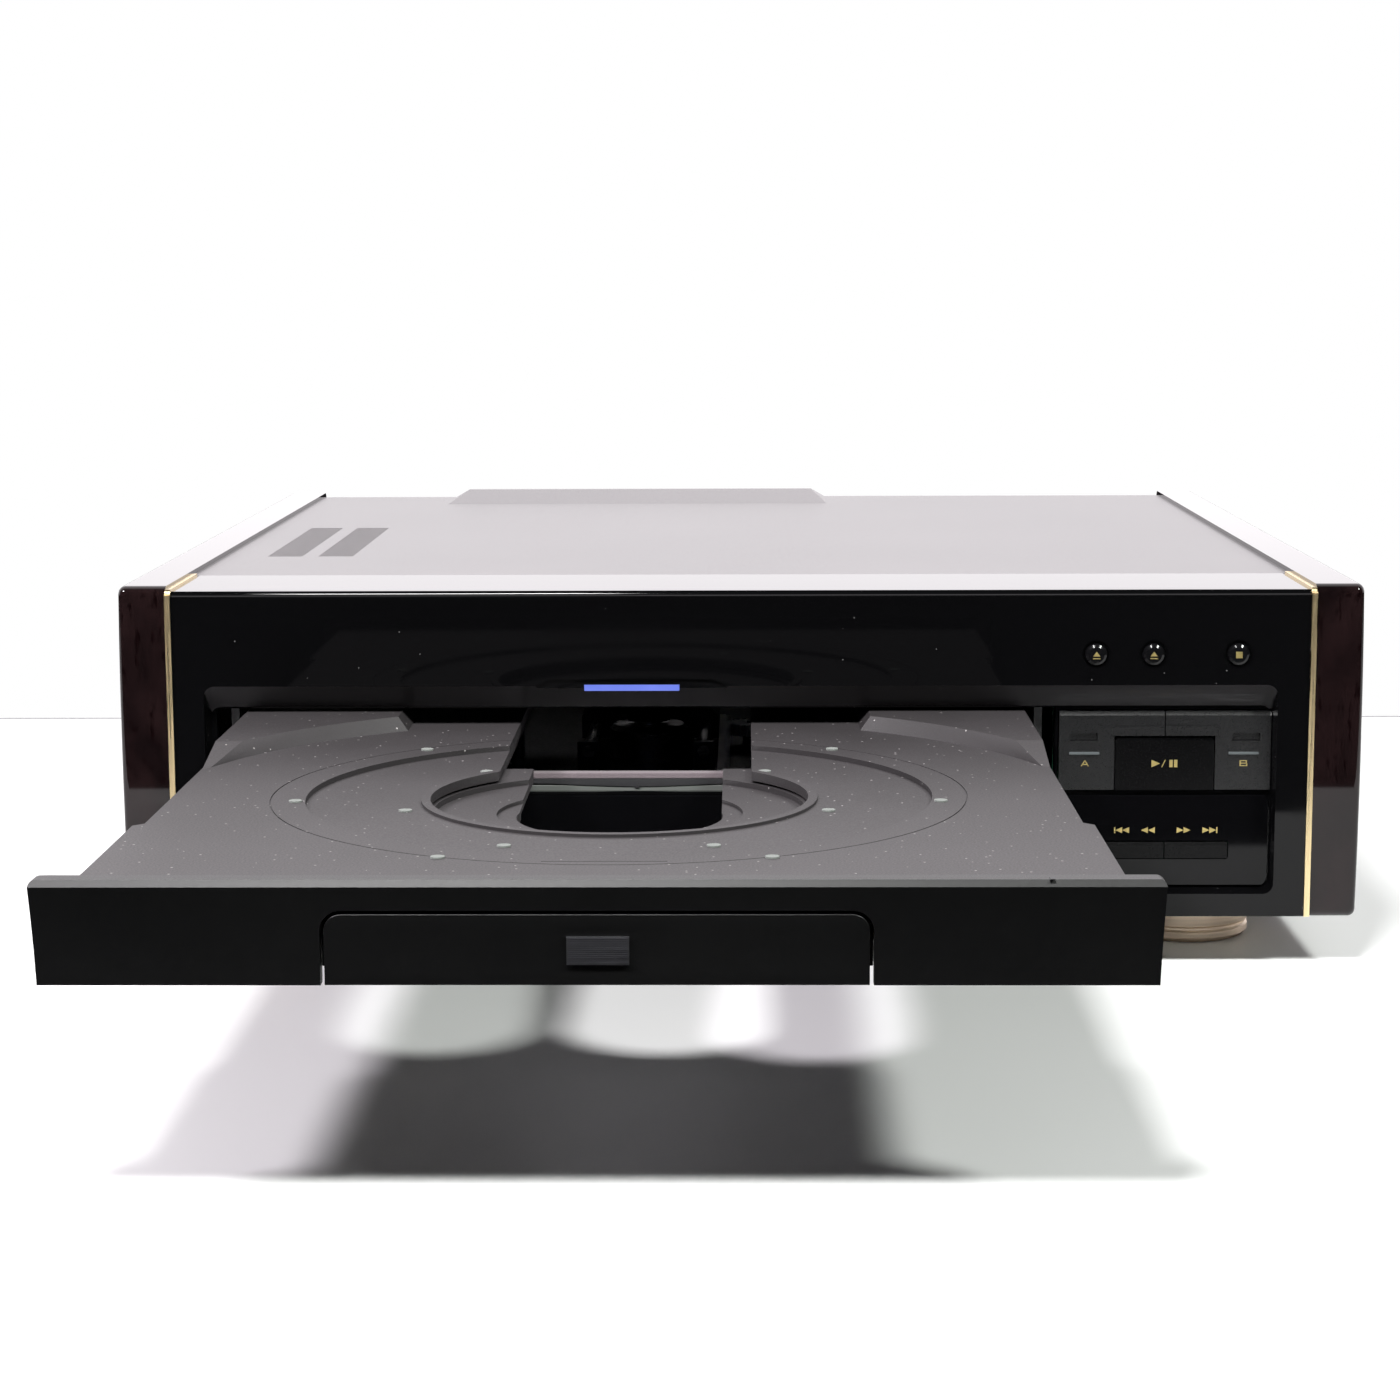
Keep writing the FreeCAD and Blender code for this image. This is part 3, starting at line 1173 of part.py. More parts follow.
def make_deck_posts():
    posts = []
    for across, back in post_spots():
        spot = f"tray_spot + {across}"
        collar = cylinder(spot, back, "floor_top", "post_collar", "deck_high - floor_top")
        pin = cylinder(spot, back, "deck_high", "post_thick", "deck_thick + lift_travel + 3")
        posts.append(joined("deck_post", [collar, pin]))
    keep(group("deck_posts", posts), "deck_posts")


def make_lift_deck():
    body = new_body("lift_deck")
    add(body, "XY_Plane", "deck_high", "deck_top", rectangle(
        "-deck_half", "deck_half", "deck_front", "deck_rear"))
    for start in ("-deck_half", "deck_half - 2"):
        add(body, "YZ_Plane", start, f"{start} + 2", rectangle(
            "deck_front", "deck_rear", "deck_top", "deck_top + 5"))
    ends = ("deck_front + 4", "deck_rear - 4 - rod_block")
    for start in ends:
        for middle in ("-rod_spot", "rod_spot"):
            add(body, "XZ_Plane", start, f"{start} + rod_block", rectangle(
                f"{middle} - 4.5", f"{middle} + 4.5", "deck_top", "rod_high + 4"))
    take(body, "XZ_Plane", "deck_front", "deck_rear",
         ("-rod_spot", "rod_high", "rod_thick"), ("rod_spot", "rod_high", "rod_thick"))
    add(body, "XY_Plane", "deck_top", "pickup_low - 0.3",
        ("feed_x - tray_spot", "feed_y", "feed_post + 1.6"))
    add(body, "XY_Plane", "deck_top", "pickup_low + feed_thick + 0.8",
        ("feed_x - tray_spot", "feed_y", "feed_post"))
    for across, back in post_spots():
        take(body, "XY_Plane", "deck_high", "deck_top", (across, back, "post_thick + post_fit"))
    take(body, "XY_Plane", "deck_high", "deck_top", rounded(
        "-rod_spot + 6", "rod_spot - 6", "pickup_y + 8", "deck_rear - 20", "5"))
    seat(body, "tray_spot")


def make_guide_rods():
    start = "deck_front + 4"
    length = "deck_long - 8"
    rods = [cylinder(f"tray_spot {sign} rod_spot", start, "rod_high", "rod_thick", length, backward)
            for sign in "-+"]
    keep(group("guide_rods", rods), "guide_rods")


def make_spindle_motor():
    body = new_body("spindle_motor")
    top = "deck_top + spindle_long"
    turned(body, "Revolution", [
        ("shaft_thick + shaft_fit", "deck_top"), ("spindle_wide", "deck_top"),
        ("spindle_wide", f"{top} - 2"), ("spindle_wide - 2", top), ("5", top),
        ("5", f"{top} + 1"), ("shaft_thick + shaft_fit", f"{top} + 1")])
    seat(body, "tray_spot", "disc_closed")


def make_turntable():
    body = new_body("turntable")
    cone = "table_top + cone_high"
    turned(body, "Revolution", [
        ("0", "deck_top + 2"), ("shaft_thick", "deck_top + 2"),
        ("shaft_thick", "deck_top + spindle_long + 1.6"), ("table_hub", "deck_top + spindle_long + 1.6"),
        ("table_hub", "table_low"), ("table_wide", "table_low"), ("table_wide", "table_top"),
        ("cone_wide", "table_top"), ("cone_wide - 1.4", cone), ("spigot_wide", cone),
        ("spigot_wide", f"{cone} + spigot_high / 2"), ("spigot_wide - 2.4", f"{cone} + spigot_high"),
        ("0", f"{cone} + spigot_high")])
    seat(body, "tray_spot", "disc_closed")


def make_pickup():
    body = new_body("pickup_carriage")
    rear = "pickup_y + pickup_long"
    add(body, "XZ_Plane", "pickup_y", rear, [
        ("-pickup_half", "pickup_low"), ("pickup_half", "pickup_low"),
        ("pickup_half", "pickup_high - 4"), ("pickup_half - 4", "pickup_high"),
        ("-pickup_half + 4", "pickup_high"), ("-pickup_half", "pickup_high - 4")])
    fit = "rod_thick + rod_fit"
    take(body, "XZ_Plane", "pickup_y", rear,
         ("-rod_spot", "rod_high", fit), ("rod_spot", "rod_high", fit))
    take(body, "XY_Plane", "pickup_high - 2", "pickup_high", rounded(
        "-pickup_half + 9", "pickup_half - 9", "lens_y + tower_wide + 3", f"{rear} - 4", "2"))
    add(body, "XY_Plane", "pickup_high - 1", "pickup_high + tower_high", ("0", "lens_y", "tower_wide"))
    take(body, "XY_Plane", "pickup_high + tower_high - 1.2", "pickup_high + tower_high",
         ("0", "lens_y", "lens_wide"))
    seat(body, "tray_spot")
    lens = new_body("pickup_lens")
    floor = "pickup_high + tower_high - 1.2"
    turned(lens, "Revolution", [
        ("0", floor), ("lens_wide", floor), ("lens_wide", f"{floor} + 0.8"),
        ("lens_wide / 2", f"{floor} + 1.5"), ("0", f"{floor} + 1.7")])
    seat(lens, "tray_spot", "lens_y")


def make_feed_drive():
    module = value("feed_module")
    thick = value("feed_thick")
    play = value("gear_play") / 2
    spot = value("feed_y")
    front = -value("pickup_travel + 8")
    rear = value("pickup_y + pickup_long") - spot
    back = value("feed_rack_thick") - module * (tooth_under - 1)
    rack = rack_shape(module, back, thick, front, rear, play)
    keep_shape("feed_rack", rack, "tray_spot + pickup_half", "feed_y", "pickup_low")
    gear = gear_face(module, int(value("feed_teeth")), play).extrude(FreeCAD.Vector(0, 0, thick))
    bore = disc(value("feed_post + gear_fit"), -1, thick + 1)
    keep_shape("feed_gear", gear.cut(bore), "feed_x", "feed_y", "pickup_low")
    motor = cylinder("feed_x", "feed_y", "deck_high - feed_motor_long", "feed_motor_wide",
                     "feed_motor_long")
    keep(group("feed_motor", [motor]), "feed_motor")


# ---- electronics -----------------------------------------------------------------------------

# A circuit board with simple blocks for its parts: (left, front, width, depth, height) each, in
# steps of the board's grid.
def board_pieces(left, right, front, rear, low, parts):
    top = f"{low} + board_thick"
    pieces = [block(left, right, front, rear, low, top)]
    for across, back, wide, deep, high in parts:
        x = f"{left} + {across} * grid"
        y = f"{front} + {back} * grid"
        pieces.append(block(x, f"{x} + {wide} * grid", y, f"{y} + {deep} * grid",
                            top, f"{top} + {high} * grid"))
    return pieces


def make_lower_board(label, front, rear, parts):
    pieces = board_pieces("board_left", "board_right", front, rear, "board_low", parts)
    for x in ("board_left + leg_inset", "board_right - leg_inset"):
        for y in (f"{front} + leg_inset", f"{rear} - leg_inset"):
            pieces.append(cylinder(x, y, "floor_top", "leg_inset / 2", "board_lift"))
    keep(joined(label, pieces), label)


def make_boards():
    make_lower_board("main_board", "board_front", "power_front - board_gap", [
        (8, 12, 11, 11, 1.2), (6, 32, 8, 8, 1.2), (20, 33, 7, 6, 1), (24, 12, 4, 16, 2.4),
        (5, 48, 6, 2, 4), (12, 48, 6, 2, 4), (22, 48, 6, 6, 3)])
    make_lower_board("power_board", "power_front", "transformer_front - board_gap", [
        (3, 7, 9, 9, 11), (14, 7, 9, 9, 11), (26, 6, 2, 26, 13), (4, 23, 6, 6, 8),
        (14, 22, 8, 12, 9), (5, 33, 5, 6, 6)])
    make_upper_board()
    make_front_boards()
    make_transformer()


def make_upper_board():
    low = "upper_board_high"
    left = "tray_spot - guide_outer + 4"
    front = "disc_closed + bridge_wide / 2 + 14"
    rear = "guide_rear - 40"
    pieces = board_pieces(left, f"{left} + 46 * grid", front, rear, low, [
        (5, 5, 3, 35, 7), (15, 8, 12, 12, 1.2), (32, 9, 8, 8, 1.2), (17, 27, 6, 6, 3.5)])
    for back in (f"{front} + 8", f"{rear} - 8"):
        pieces.append(cylinder("tray_spot - guide_outer + 5.5", back, "lip_top", "1.4",
                               f"{low} - lip_top"))
    keep(joined("upper_board", pieces), "upper_board")


# A tact switch on the front of the key board, with its face just behind a key's stem.
def switch(across, up):
    return block(f"({across}) - switch_wide", f"({across}) + switch_wide", "switch_face",
                 "front_board", f"({up}) - switch_wide", f"({up}) + switch_wide")


def make_front_boards():
    rear = "front_board + board_thick"
    base = block("-window_half + 3", "key_left - 6", "front_board", rear, "front_board_low",
                 "beam_high - 0.6")
    middle = "rocker_low + rocker_high / 2"
    keep(joined("display_board", [base, switch("power_left + power_wide / 2", middle)]),
         "display_board")
    tube = block("tray_spot - tube_wide / 2", "tray_spot + tube_wide / 2",
                 "front_board - tube_thick", "front_board", "tube_low", "tube_low + tube_high")
    keep(group("display_tube", [tube]), "display_tube")
    far = "key_right - ledge_inset - ledge_wide / 2"
    near = "key_left + ledge_inset + ledge_wide / 2"
    high = "(key_low + key_high) / 2"
    spots = [(near, high), (far, high), ("key_split", "key_low + play_high / 2")]
    spots += [(spot, "button_spot") for spot in
              ("small_eject_spot", "large_eject_spot", "stop_spot")]
    pieces = [block("key_left - 1", "board_right", "front_board", rear, "front_board_low",
                    "button_spot + 10")]
    keep(joined("key_board", pieces + [switch(*spot) for spot in spots]), "key_board")


def make_transformer():
    left = "inlet_spot - transformer_wide / 2"
    right = "inlet_spot + transformer_wide / 2"
    front = "transformer_front"
    rear = f"{front} + transformer_deep"
    high = "floor_top + transformer_high"
    wing = "transformer_wing"
    core = block(left, right, f"{front} + {wing}", f"{rear} - {wing}", "floor_top", high)
    coil = block(f"{left} + {wing}", f"{right} - {wing}", front, rear,
                 f"floor_top + 0.75 * {wing}", f"{high} - 0.75 * {wing}")
    feet = block(f"{left} - transformer_foot", f"{right} + transformer_foot",
                 f"{front} + {wing} + 2", f"{rear} - {wing} - 2", "floor_top",
                 "floor_top + transformer_plate")
    keep(joined("transformer", [core, coil, feet]), "transformer")


# ---- whole player ----------------------------------------------------------------------------

def make_casing():
    make_side_panel("side_panel_left", -1)
    make_side_panel("side_panel_right", 1)
    make_trim("trim_left", -1)
    make_trim("trim_right", 1)
    make_top_cover()
    make_chassis()
    make_feet()
    make_rear_panel()
    make_sockets()
    make_screws()
    make_front_panel()
    make_display_window()
    make_light_bar()


def make_trays():
    make_large_tray()
    make_large_tray_door()
    make_large_tray_pads()
    make_tray_rack()
    make_small_tray()
    make_small_tray_door()


def make_loader():
    make_loader_frame()
    make_drive_gear()
    make_motor_pulley()
    make_drive_belt()
    make_loading_motor()
    make_clamp_bridge()
    make_clamper()


def make_disc_drive():
    make_deck_posts()
    make_lift_deck()
    make_guide_rods()
    make_spindle_motor()
    make_turntable()
    make_pickup()
    make_feed_drive()


# A cut that points away from its solid leaves the volume as it was.
def check_cuts(body):
    for feature in body.Group:
        cuts = feature.TypeId in ("PartDesign::Pocket", "PartDesign::SubtractiveLoft")
        if cuts and feature.BaseFeature.Shape.Volume - feature.Shape.Volume < 0.01:
            raise RuntimeError(f"{body.Label}: {feature.Name} cuts nothing")


def check_document():
    for thing in doc.Objects:
        if "Invalid" in thing.State or "Error" in thing.State:
            raise RuntimeError(f"{thing.Name} failed: {thing.State}")
    for node in nodes:
        if node.Shape.isNull() or not node.Shape.isValid():
            raise RuntimeError(f"{node.Label} has no valid shape")
        if node.TypeId == "PartDesign::Body":
            check_cuts(node)


def write_parts():
    os.makedirs("parts", exist_ok=True)
    for node in nodes:
        node.Shape.exportStep(f"parts/{node.Label}.step")


fill_sheet()
make_casing()
make_controls()
make_trays()
make_loader()
make_disc_drive()
make_boards()
doc.recompute()
check_document()
write_parts()
print(len(nodes), "nodes")
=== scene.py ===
import bmesh
import bpy
import json
import math
from mathutils import Matrix, Vector


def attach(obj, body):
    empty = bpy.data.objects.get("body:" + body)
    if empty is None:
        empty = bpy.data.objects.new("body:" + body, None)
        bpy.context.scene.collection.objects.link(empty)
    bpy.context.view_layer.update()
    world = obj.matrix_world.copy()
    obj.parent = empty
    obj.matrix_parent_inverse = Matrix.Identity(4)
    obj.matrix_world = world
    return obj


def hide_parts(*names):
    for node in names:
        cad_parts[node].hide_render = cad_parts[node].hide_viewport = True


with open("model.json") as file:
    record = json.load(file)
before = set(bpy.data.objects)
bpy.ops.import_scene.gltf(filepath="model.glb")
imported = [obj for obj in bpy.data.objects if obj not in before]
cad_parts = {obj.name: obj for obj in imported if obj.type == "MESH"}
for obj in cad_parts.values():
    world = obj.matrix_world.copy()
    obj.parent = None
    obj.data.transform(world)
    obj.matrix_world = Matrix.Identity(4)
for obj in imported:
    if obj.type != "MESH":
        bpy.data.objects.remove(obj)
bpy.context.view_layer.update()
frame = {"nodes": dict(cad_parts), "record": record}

nodes = frame["nodes"]
slotOf = {part["node"]: part["material_slot"] for part in frame["record"]["subparts"]}
mm = 0.001


# camera: place in metres, turns in degrees, focal length in pixels of a 1400 pixel frame
cameraView = {"place": (0.001887, -1.14685, 0.26836), "pitch": 8.758, "yaw": -0.8829,
              "roll": 0.2216, "focal": 2922.43, "frame": 1400, "sensor": 36, "near": 0.05, "far": 60}


def setCamera(view):
    camera = bpy.data.cameras.new("viewCamera")
    camera.sensor_width = view["sensor"]
    camera.lens = view["focal"] * view["sensor"] / view["frame"]
    camera.clip_start = view["near"]
    camera.clip_end = view["far"]
    holder = bpy.data.objects.new("viewCamera", camera)
    bpy.context.scene.collection.objects.link(holder)
    pitch, yaw, roll = (math.radians(view[turn]) for turn in ("pitch", "yaw", "roll"))
    ahead = Vector((math.sin(yaw) * math.cos(pitch), math.cos(yaw) * math.cos(pitch), -math.sin(pitch)))
    level = Vector((math.cos(yaw), -math.sin(yaw), 0))
    upright = Vector((math.sin(yaw) * math.sin(pitch), math.cos(yaw) * math.sin(pitch), math.cos(pitch)))
    right = level * math.cos(roll) - upright * math.sin(roll)
    up = level * math.sin(roll) + upright * math.cos(roll)
    turn = Matrix((right, up, -ahead)).transposed().to_4x4()
    holder.matrix_world = Matrix.Translation(view["place"]) @ turn
    bpy.context.scene.camera = holder


setCamera(cameraView)


def newFinish(name, colour=(0.5, 0.5, 0.5), metallic=0.0, roughness=0.5, **more):
    finish = bpy.data.materials.new(name)
    finish.use_nodes = True
    tree = finish.node_tree
    shader = tree.nodes["Principled BSDF"]
    shader.inputs["Base Color"].default_value = (*colour, 1)
    shader.inputs["Metallic"].default_value = metallic
    shader.inputs["Roughness"].default_value = roughness
    for socket, value in more.items():
        shader.inputs[socket].default_value = value
    return finish, tree, shader


def placed(tree, stretch=(1, 1, 1)):
    # object coordinates, stretched along the grain
    coords = tree.nodes.new("ShaderNodeTexCoord")
    mapping = tree.nodes.new("ShaderNodeMapping")
    mapping.inputs["Scale"].default_value = stretch
    tree.links.new(coords.outputs["Object"], mapping.inputs["Vector"])
    return mapping.outputs["Vector"]


def cloudy(tree, scale, detail=3, rough=0.55, stretch=(1, 1, 1), warp=0.0):
    noise = tree.nodes.new("ShaderNodeTexNoise")
    noise.inputs["Scale"].default_value = scale
    noise.inputs["Detail"].default_value = detail
    noise.inputs["Roughness"].default_value = rough
    noise.inputs["Distortion"].default_value = warp
    tree.links.new(placed(tree, stretch), noise.inputs["Vector"])
    return noise.outputs["Fac"]


def ramp(tree, value, low, high, start=0.0, end=1.0):
    band = tree.nodes.new("ShaderNodeValToRGB")
    band.color_ramp.elements[0].position = start
    band.color_ramp.elements[1].position = end
    band.color_ramp.elements[0].color = (*low, 1)
    band.color_ramp.elements[1].color = (*high, 1)
    tree.links.new(value, band.inputs["Fac"])
    return band.outputs["Color"]


def spread(tree, value, low, high, start=0.0, end=1.0):
    remap = tree.nodes.new("ShaderNodeMapRange")
    remap.inputs["From Min"].default_value = start
    remap.inputs["From Max"].default_value = end
    remap.inputs["To Min"].default_value = low
    remap.inputs["To Max"].default_value = high
    tree.links.new(value, remap.inputs["Value"])
    return remap.outputs["Result"]


def sums(tree, kind, one, two):
    maths = tree.nodes.new("ShaderNodeMath")
    maths.operation = kind
    for socket, value in zip(maths.inputs, (one, two)):
        if isinstance(value, (int, float)):
            socket.default_value = value
        else:
            tree.links.new(value, socket)
    return maths.outputs["Value"]


def relief(tree, shader, height, depth, strength=1.0):
    # depth in metres
    bump = tree.nodes.new("ShaderNodeBump")
    bump.inputs["Distance"].default_value = depth
    bump.inputs["Strength"].default_value = strength
    tree.links.new(height, bump.inputs["Height"])
    tree.links.new(bump.outputs["Normal"], shader.inputs["Normal"])
    return bump.outputs["Normal"]


def specks(tree, scale, size, share):
    # sparse round dots: 1 on a speck, 0 elsewhere
    cells = tree.nodes.new("ShaderNodeTexVoronoi")
    cells.inputs["Scale"].default_value = scale
    tree.links.new(placed(tree), cells.inputs["Vector"])
    near = sums(tree, "LESS_THAN", cells.outputs["Distance"], size)
    parts = tree.nodes.new("ShaderNodeSeparateColor")
    tree.links.new(cells.outputs["Color"], parts.inputs["Color"])
    chosen = sums(tree, "LESS_THAN", parts.outputs["Red"], share)
    return sums(tree, "MULTIPLY", near, chosen)


def blended(tree, value, low, high):
    mix = tree.nodes.new("ShaderNodeMix")
    mix.data_type = "RGBA"
    tree.links.new(value, mix.inputs["Factor"])
    for socket, colour in ((mix.inputs["A"], low), (mix.inputs["B"], high)):
        if isinstance(colour, tuple):
            socket.default_value = (*colour, 1)
        else:
            tree.links.new(colour, socket)
    return mix.outputs["Result"]


def rosewoodLacquer():
    finish, tree, shader = newFinish("rosewoodLacquer", roughness=0.35, **{
        "Coat Weight": 1.0, "Coat Roughness": 0.04, "Coat IOR": 1.38, "Specular IOR Level": 0.0})
    streaks = cloudy(tree, 60, 8, 0.62, (1, 0.06, 0.5), 0.6)
    pores = cloudy(tree, 420, 4, 0.6, (1, 0.03, 0.35))
    wood = ramp(tree, streaks, (0.004, 0.0022, 0.0024), (0.011, 0.0055, 0.0058), 0.32, 0.7)
    dark = spread(tree, pores, 0.0, 1.0, 0.56, 0.68)
    tree.links.new(blended(tree, dark, wood, (0.003, 0.001, 0.0012)), shader.inputs["Base Color"])
    relief(tree, shader, streaks, 0.00002, 0.4)
    return finish


def paleGold(name, colour, stretch, roughness=0.28):
    finish, tree, shader = newFinish(name, colour, 1.0, roughness)
    lines = cloudy(tree, 900, 4, 0.6, stretch)
    tree.links.new(spread(tree, lines, roughness - 0.08, roughness + 0.12, 0.3, 0.7),
                   shader.inputs["Roughness"])
    bright = tuple(min(1.0, value * 1.12) for value in colour)
    dull = tuple(value * 0.86 for value in colour)
    tree.links.new(ramp(tree, lines, dull, bright, 0.3, 0.7), shader.inputs["Base Color"])
    relief(tree, shader, lines, 0.00002, 0.3)
    return finish


def polishedBlack(name, colour, roughness, lean=0.0, paintedTableReflection=None):
    # lean tips the sheet back a little, so that it mirrors less of the table
    # the colour given to the slopes that face down is a painted reflection of the pale table beneath them
    finish, tree, shader = newFinish(name, colour, 0.0, roughness, **{"IOR": 1.3})
    haze = cloudy(tree, 14, 5, 0.6)
    tree.links.new(spread(tree, haze, roughness, roughness + 0.05, 0.45, 0.75),
                   shader.inputs["Roughness"])
    dust = specks(tree, 260, 0.06, 0.12)
    shade = blended(tree, dust, colour, (0.12, 0.12, 0.12))
    if paintedTableReflection:
        facing = tree.nodes.new("ShaderNodeNewGeometry")
        parts = tree.nodes.new("ShaderNodeSeparateXYZ")
        tree.links.new(facing.outputs["Normal"], parts.inputs[0])
        # painted reflection: where the normal points down, the colour turns lighter in place of the pale
        # table those slopes mirror
        shade = blended(tree, spread(tree, parts.outputs["Z"], 1.0, 0.0, -0.5, -0.3), shade, paintedTableReflection)
    tree.links.new(shade, shader.inputs["Base Color"])
    wavy = relief(tree, shader, cloudy(tree, 120, 2, 0.5), 0.00001, 0.15)
    if lean:
        tipped = tree.nodes.new("ShaderNodeVectorMath")
        tipped.inputs[1].default_value = (0, 0, lean)
        tree.links.new(wavy, tipped.inputs[0])
        tree.links.new(tipped.outputs["Vector"], shader.inputs["Normal"])
    return finish


def mouldedPlastic(name, low, high, roughness, grain=1600, depth=0.00004, dusty=0.0, shine=0.5):
    # depth is the grain's in metres, dusty the share of bright specks and shine the specular level
    finish, tree, shader = newFinish(name, low, 0.0, roughness, **{"Specular IOR Level": shine})
    fine = cloudy(tree, grain, 2, 0.6)
    broad = cloudy(tree, 18, 4, 0.6)
    colour = ramp(tree, broad, low, high, 0.3, 0.75)
    if dusty:
        colour = blended(tree, specks(tree, 230, 0.085, dusty), colour, (0.3, 0.28, 0.28))
    tree.links.new(colour, shader.inputs["Base Color"])
    tree.links.new(spread(tree, fine, roughness - 0.06, roughness + 0.08, 0.3, 0.7),
                   shader.inputs["Roughness"])
    relief(tree, shader, fine, depth, 0.6)
    return finish


def satinPaint():
    low, high = (0.06, 0.053, 0.057), (0.08, 0.071, 0.076)
    finish, tree, shader = newFinish("satinTopPaint", low, 0.0, 0.3, **{
        "IOR": 1.6, "Specular Tint": (1.0, 0.955, 0.985, 1)})
    fine = cloudy(tree, 2200, 2, 0.6)
    broad = cloudy(tree, 9, 5, 0.6)
    paint = ramp(tree, broad, low, high, 0.3, 0.75)
    colour = blended(tree, specks(tree, 210, 0.05, 0.1), paint, (0.4, 0.39, 0.39))
    tree.links.new(colour, shader.inputs["Base Color"])
    tree.links.new(spread(tree, fine, 0.24, 0.36, 0.3, 0.7), shader.inputs["Roughness"])
    relief(tree, shader, fine, 0.00002, 0.4)
    return finish


def feltPile(name, low, high):
    finish, tree, shader = newFinish(name, low, 0.0, 0.95, **{
        "Sheen Weight": 0.4, "Specular IOR Level": 0.1})
    fibres = cloudy(tree, 2600, 5, 0.7, (1, 1, 1), 1.2)
    tree.links.new(ramp(tree, fibres, low, high, 0.3, 0.7), shader.inputs["Base Color"])
    relief(tree, shader, fibres, 0.0001, 0.9)
    return finish


def brushedMetal(name, low, high, roughness, stretch=(1, 1, 1), metallic=1.0):
    finish, tree, shader = newFinish(name, low, metallic, roughness)
    lines = cloudy(tree, 700, 5, 0.65, stretch)
    mottle = cloudy(tree, 30, 4, 0.6)
    tree.links.new(ramp(tree, mottle, low, high, 0.3, 0.7), shader.inputs["Base Color"])
    tree.links.new(spread(tree, lines, roughness - 0.08, roughness + 0.1, 0.3, 0.7),
                   shader.inputs["Roughness"])
    relief(tree, shader, lines, 0.00002, 0.3)
    return finish


def solderMask():
    finish, tree, shader = newFinish("solderMask", (0.008, 0.045, 0.022), 0.0, 0.35)
    tracks = tree.nodes.new("ShaderNodeTexVoronoi")
    tracks.distance = "MANHATTAN"
    tracks.feature = "F1"
    tracks.inputs["Scale"].default_value = 160
    tree.links.new(placed(tree), tracks.inputs["Vector"])
    lines = spread(tree, tracks.outputs["Distance"], 0.0, 1.0, 0.42, 0.5)
    tree.links.new(blended(tree, lines, (0.006, 0.035, 0.018), (0.012, 0.07, 0.034)),
                   shader.inputs["Base Color"])
    relief(tree, shader, lines, 0.00003, 0.4)
    return finish


def litBar():
    finish, tree, shader = newFinish("litBar", (0.03, 0.04, 0.1), 0.0, 0.35, **{"Emission Strength": 1.0})
    shade = cloudy(tree, 90, 2, 0.5)
    tree.links.new(ramp(tree, shade, (0.11, 0.165, 0.66), (0.15, 0.205, 0.76), 0.3, 0.7),
                   shader.inputs["Emission Color"])
    return finish


def clearGlass(name, colour, coat=0.0):
    finish, tree, shader = newFinish(name, colour, 0.0, 0.03, **{
        "Transmission Weight": 0.85, "IOR": 1.5, "Coat Weight": coat})
    smears = cloudy(tree, 60, 4, 0.6)
    tree.links.new(spread(tree, smears, 0.02, 0.12, 0.4, 0.8), shader.inputs["Roughness"])
    return finish


# one finish for each material slot: colours, then roughness, then grain and relief
finishes = {
    "rosewood": rosewoodLacquer(),
    "gold_trim": paleGold("trimGold", (0.83, 0.66, 0.38), stretch=(1, 0.2, 0.03)),
    "champagne": paleGold("footChampagne", (0.78, 0.64, 0.5), stretch=(0.03, 0.03, 1), roughness=0.42),
    # the piano black's down-facing slopes carry a painted reflection of the pale table
    "gloss_black": polishedBlack("pianoBlack", (0.0022, 0.0022, 0.0025), 0.035,
                                 paintedTableReflection=(0.035, 0.0335, 0.035)),
    "window_black": polishedBlack("windowBlack", (0.002, 0.002, 0.0024), 0.03, lean=0.03),
    "cover_grey": satinPaint(),
    "tray_charcoal": mouldedPlastic("trayCharcoal", (0.025, 0.0222, 0.0235), (0.032, 0.0285, 0.0305), 0.52,
                                    grain=1500, depth=0.00006, dusty=0.8),
    "door_black": mouldedPlastic("doorSatin", (0.002, 0.002, 0.0022), (0.0035, 0.0035, 0.0037), 0.38,
                                 grain=2400, depth=0.00003),
    "key_black": mouldedPlastic("keySatin", (0.0045, 0.0045, 0.005), (0.0075, 0.0075, 0.008), 0.3,
                                grain=2400, depth=0.00002),
    "felt": feltPile("discFelt", (0.14, 0.155, 0.145), (0.24, 0.255, 0.24)),
    "lamp_blue": litBar(),
    "zinc": brushedMetal("zincPlate", (0.5, 0.5, 0.47), (0.62, 0.61, 0.57), 0.36),
    "steel": brushedMetal("turnedSteel", (0.3, 0.3, 0.3), (0.38, 0.38, 0.38), 0.3, stretch=(0.05, 0.05, 1)),
    "dark_steel": brushedMetal("blackSteel", (0.04, 0.04, 0.042), (0.06, 0.06, 0.062), 0.42, metallic=0.4),
    "moulding": mouldedPlastic("innerMoulding", (0.022, 0.022, 0.024), (0.034, 0.034, 0.036), 0.5),
    "natural_plastic": mouldedPlastic("naturalPlastic", (0.62, 0.6, 0.52), (0.74, 0.71, 0.63), 0.4),
    "rubber": mouldedPlastic("beltRubber", (0.018, 0.018, 0.018), (0.03, 0.03, 0.03), 0.75),
    "board_green": solderMask(),
    "tube_glass": clearGlass("tubeGlass", (0.4, 0.5, 0.52)),
    "iron": brushedMetal("coreIron", (0.16, 0.15, 0.14), (0.24, 0.22, 0.2), 0.5, stretch=(1, 1, 0.02)),
    "foot_felt": feltPile("footFelt", (0.03, 0.03, 0.03), (0.06, 0.06, 0.06)),
    "lens_glass": clearGlass("lensGlass", (0.5, 0.55, 0.85), coat=1.0),
    "gold_plate": paleGold("socketGold", (0.78, 0.6, 0.3), stretch=(1, 0.05, 1)),
}

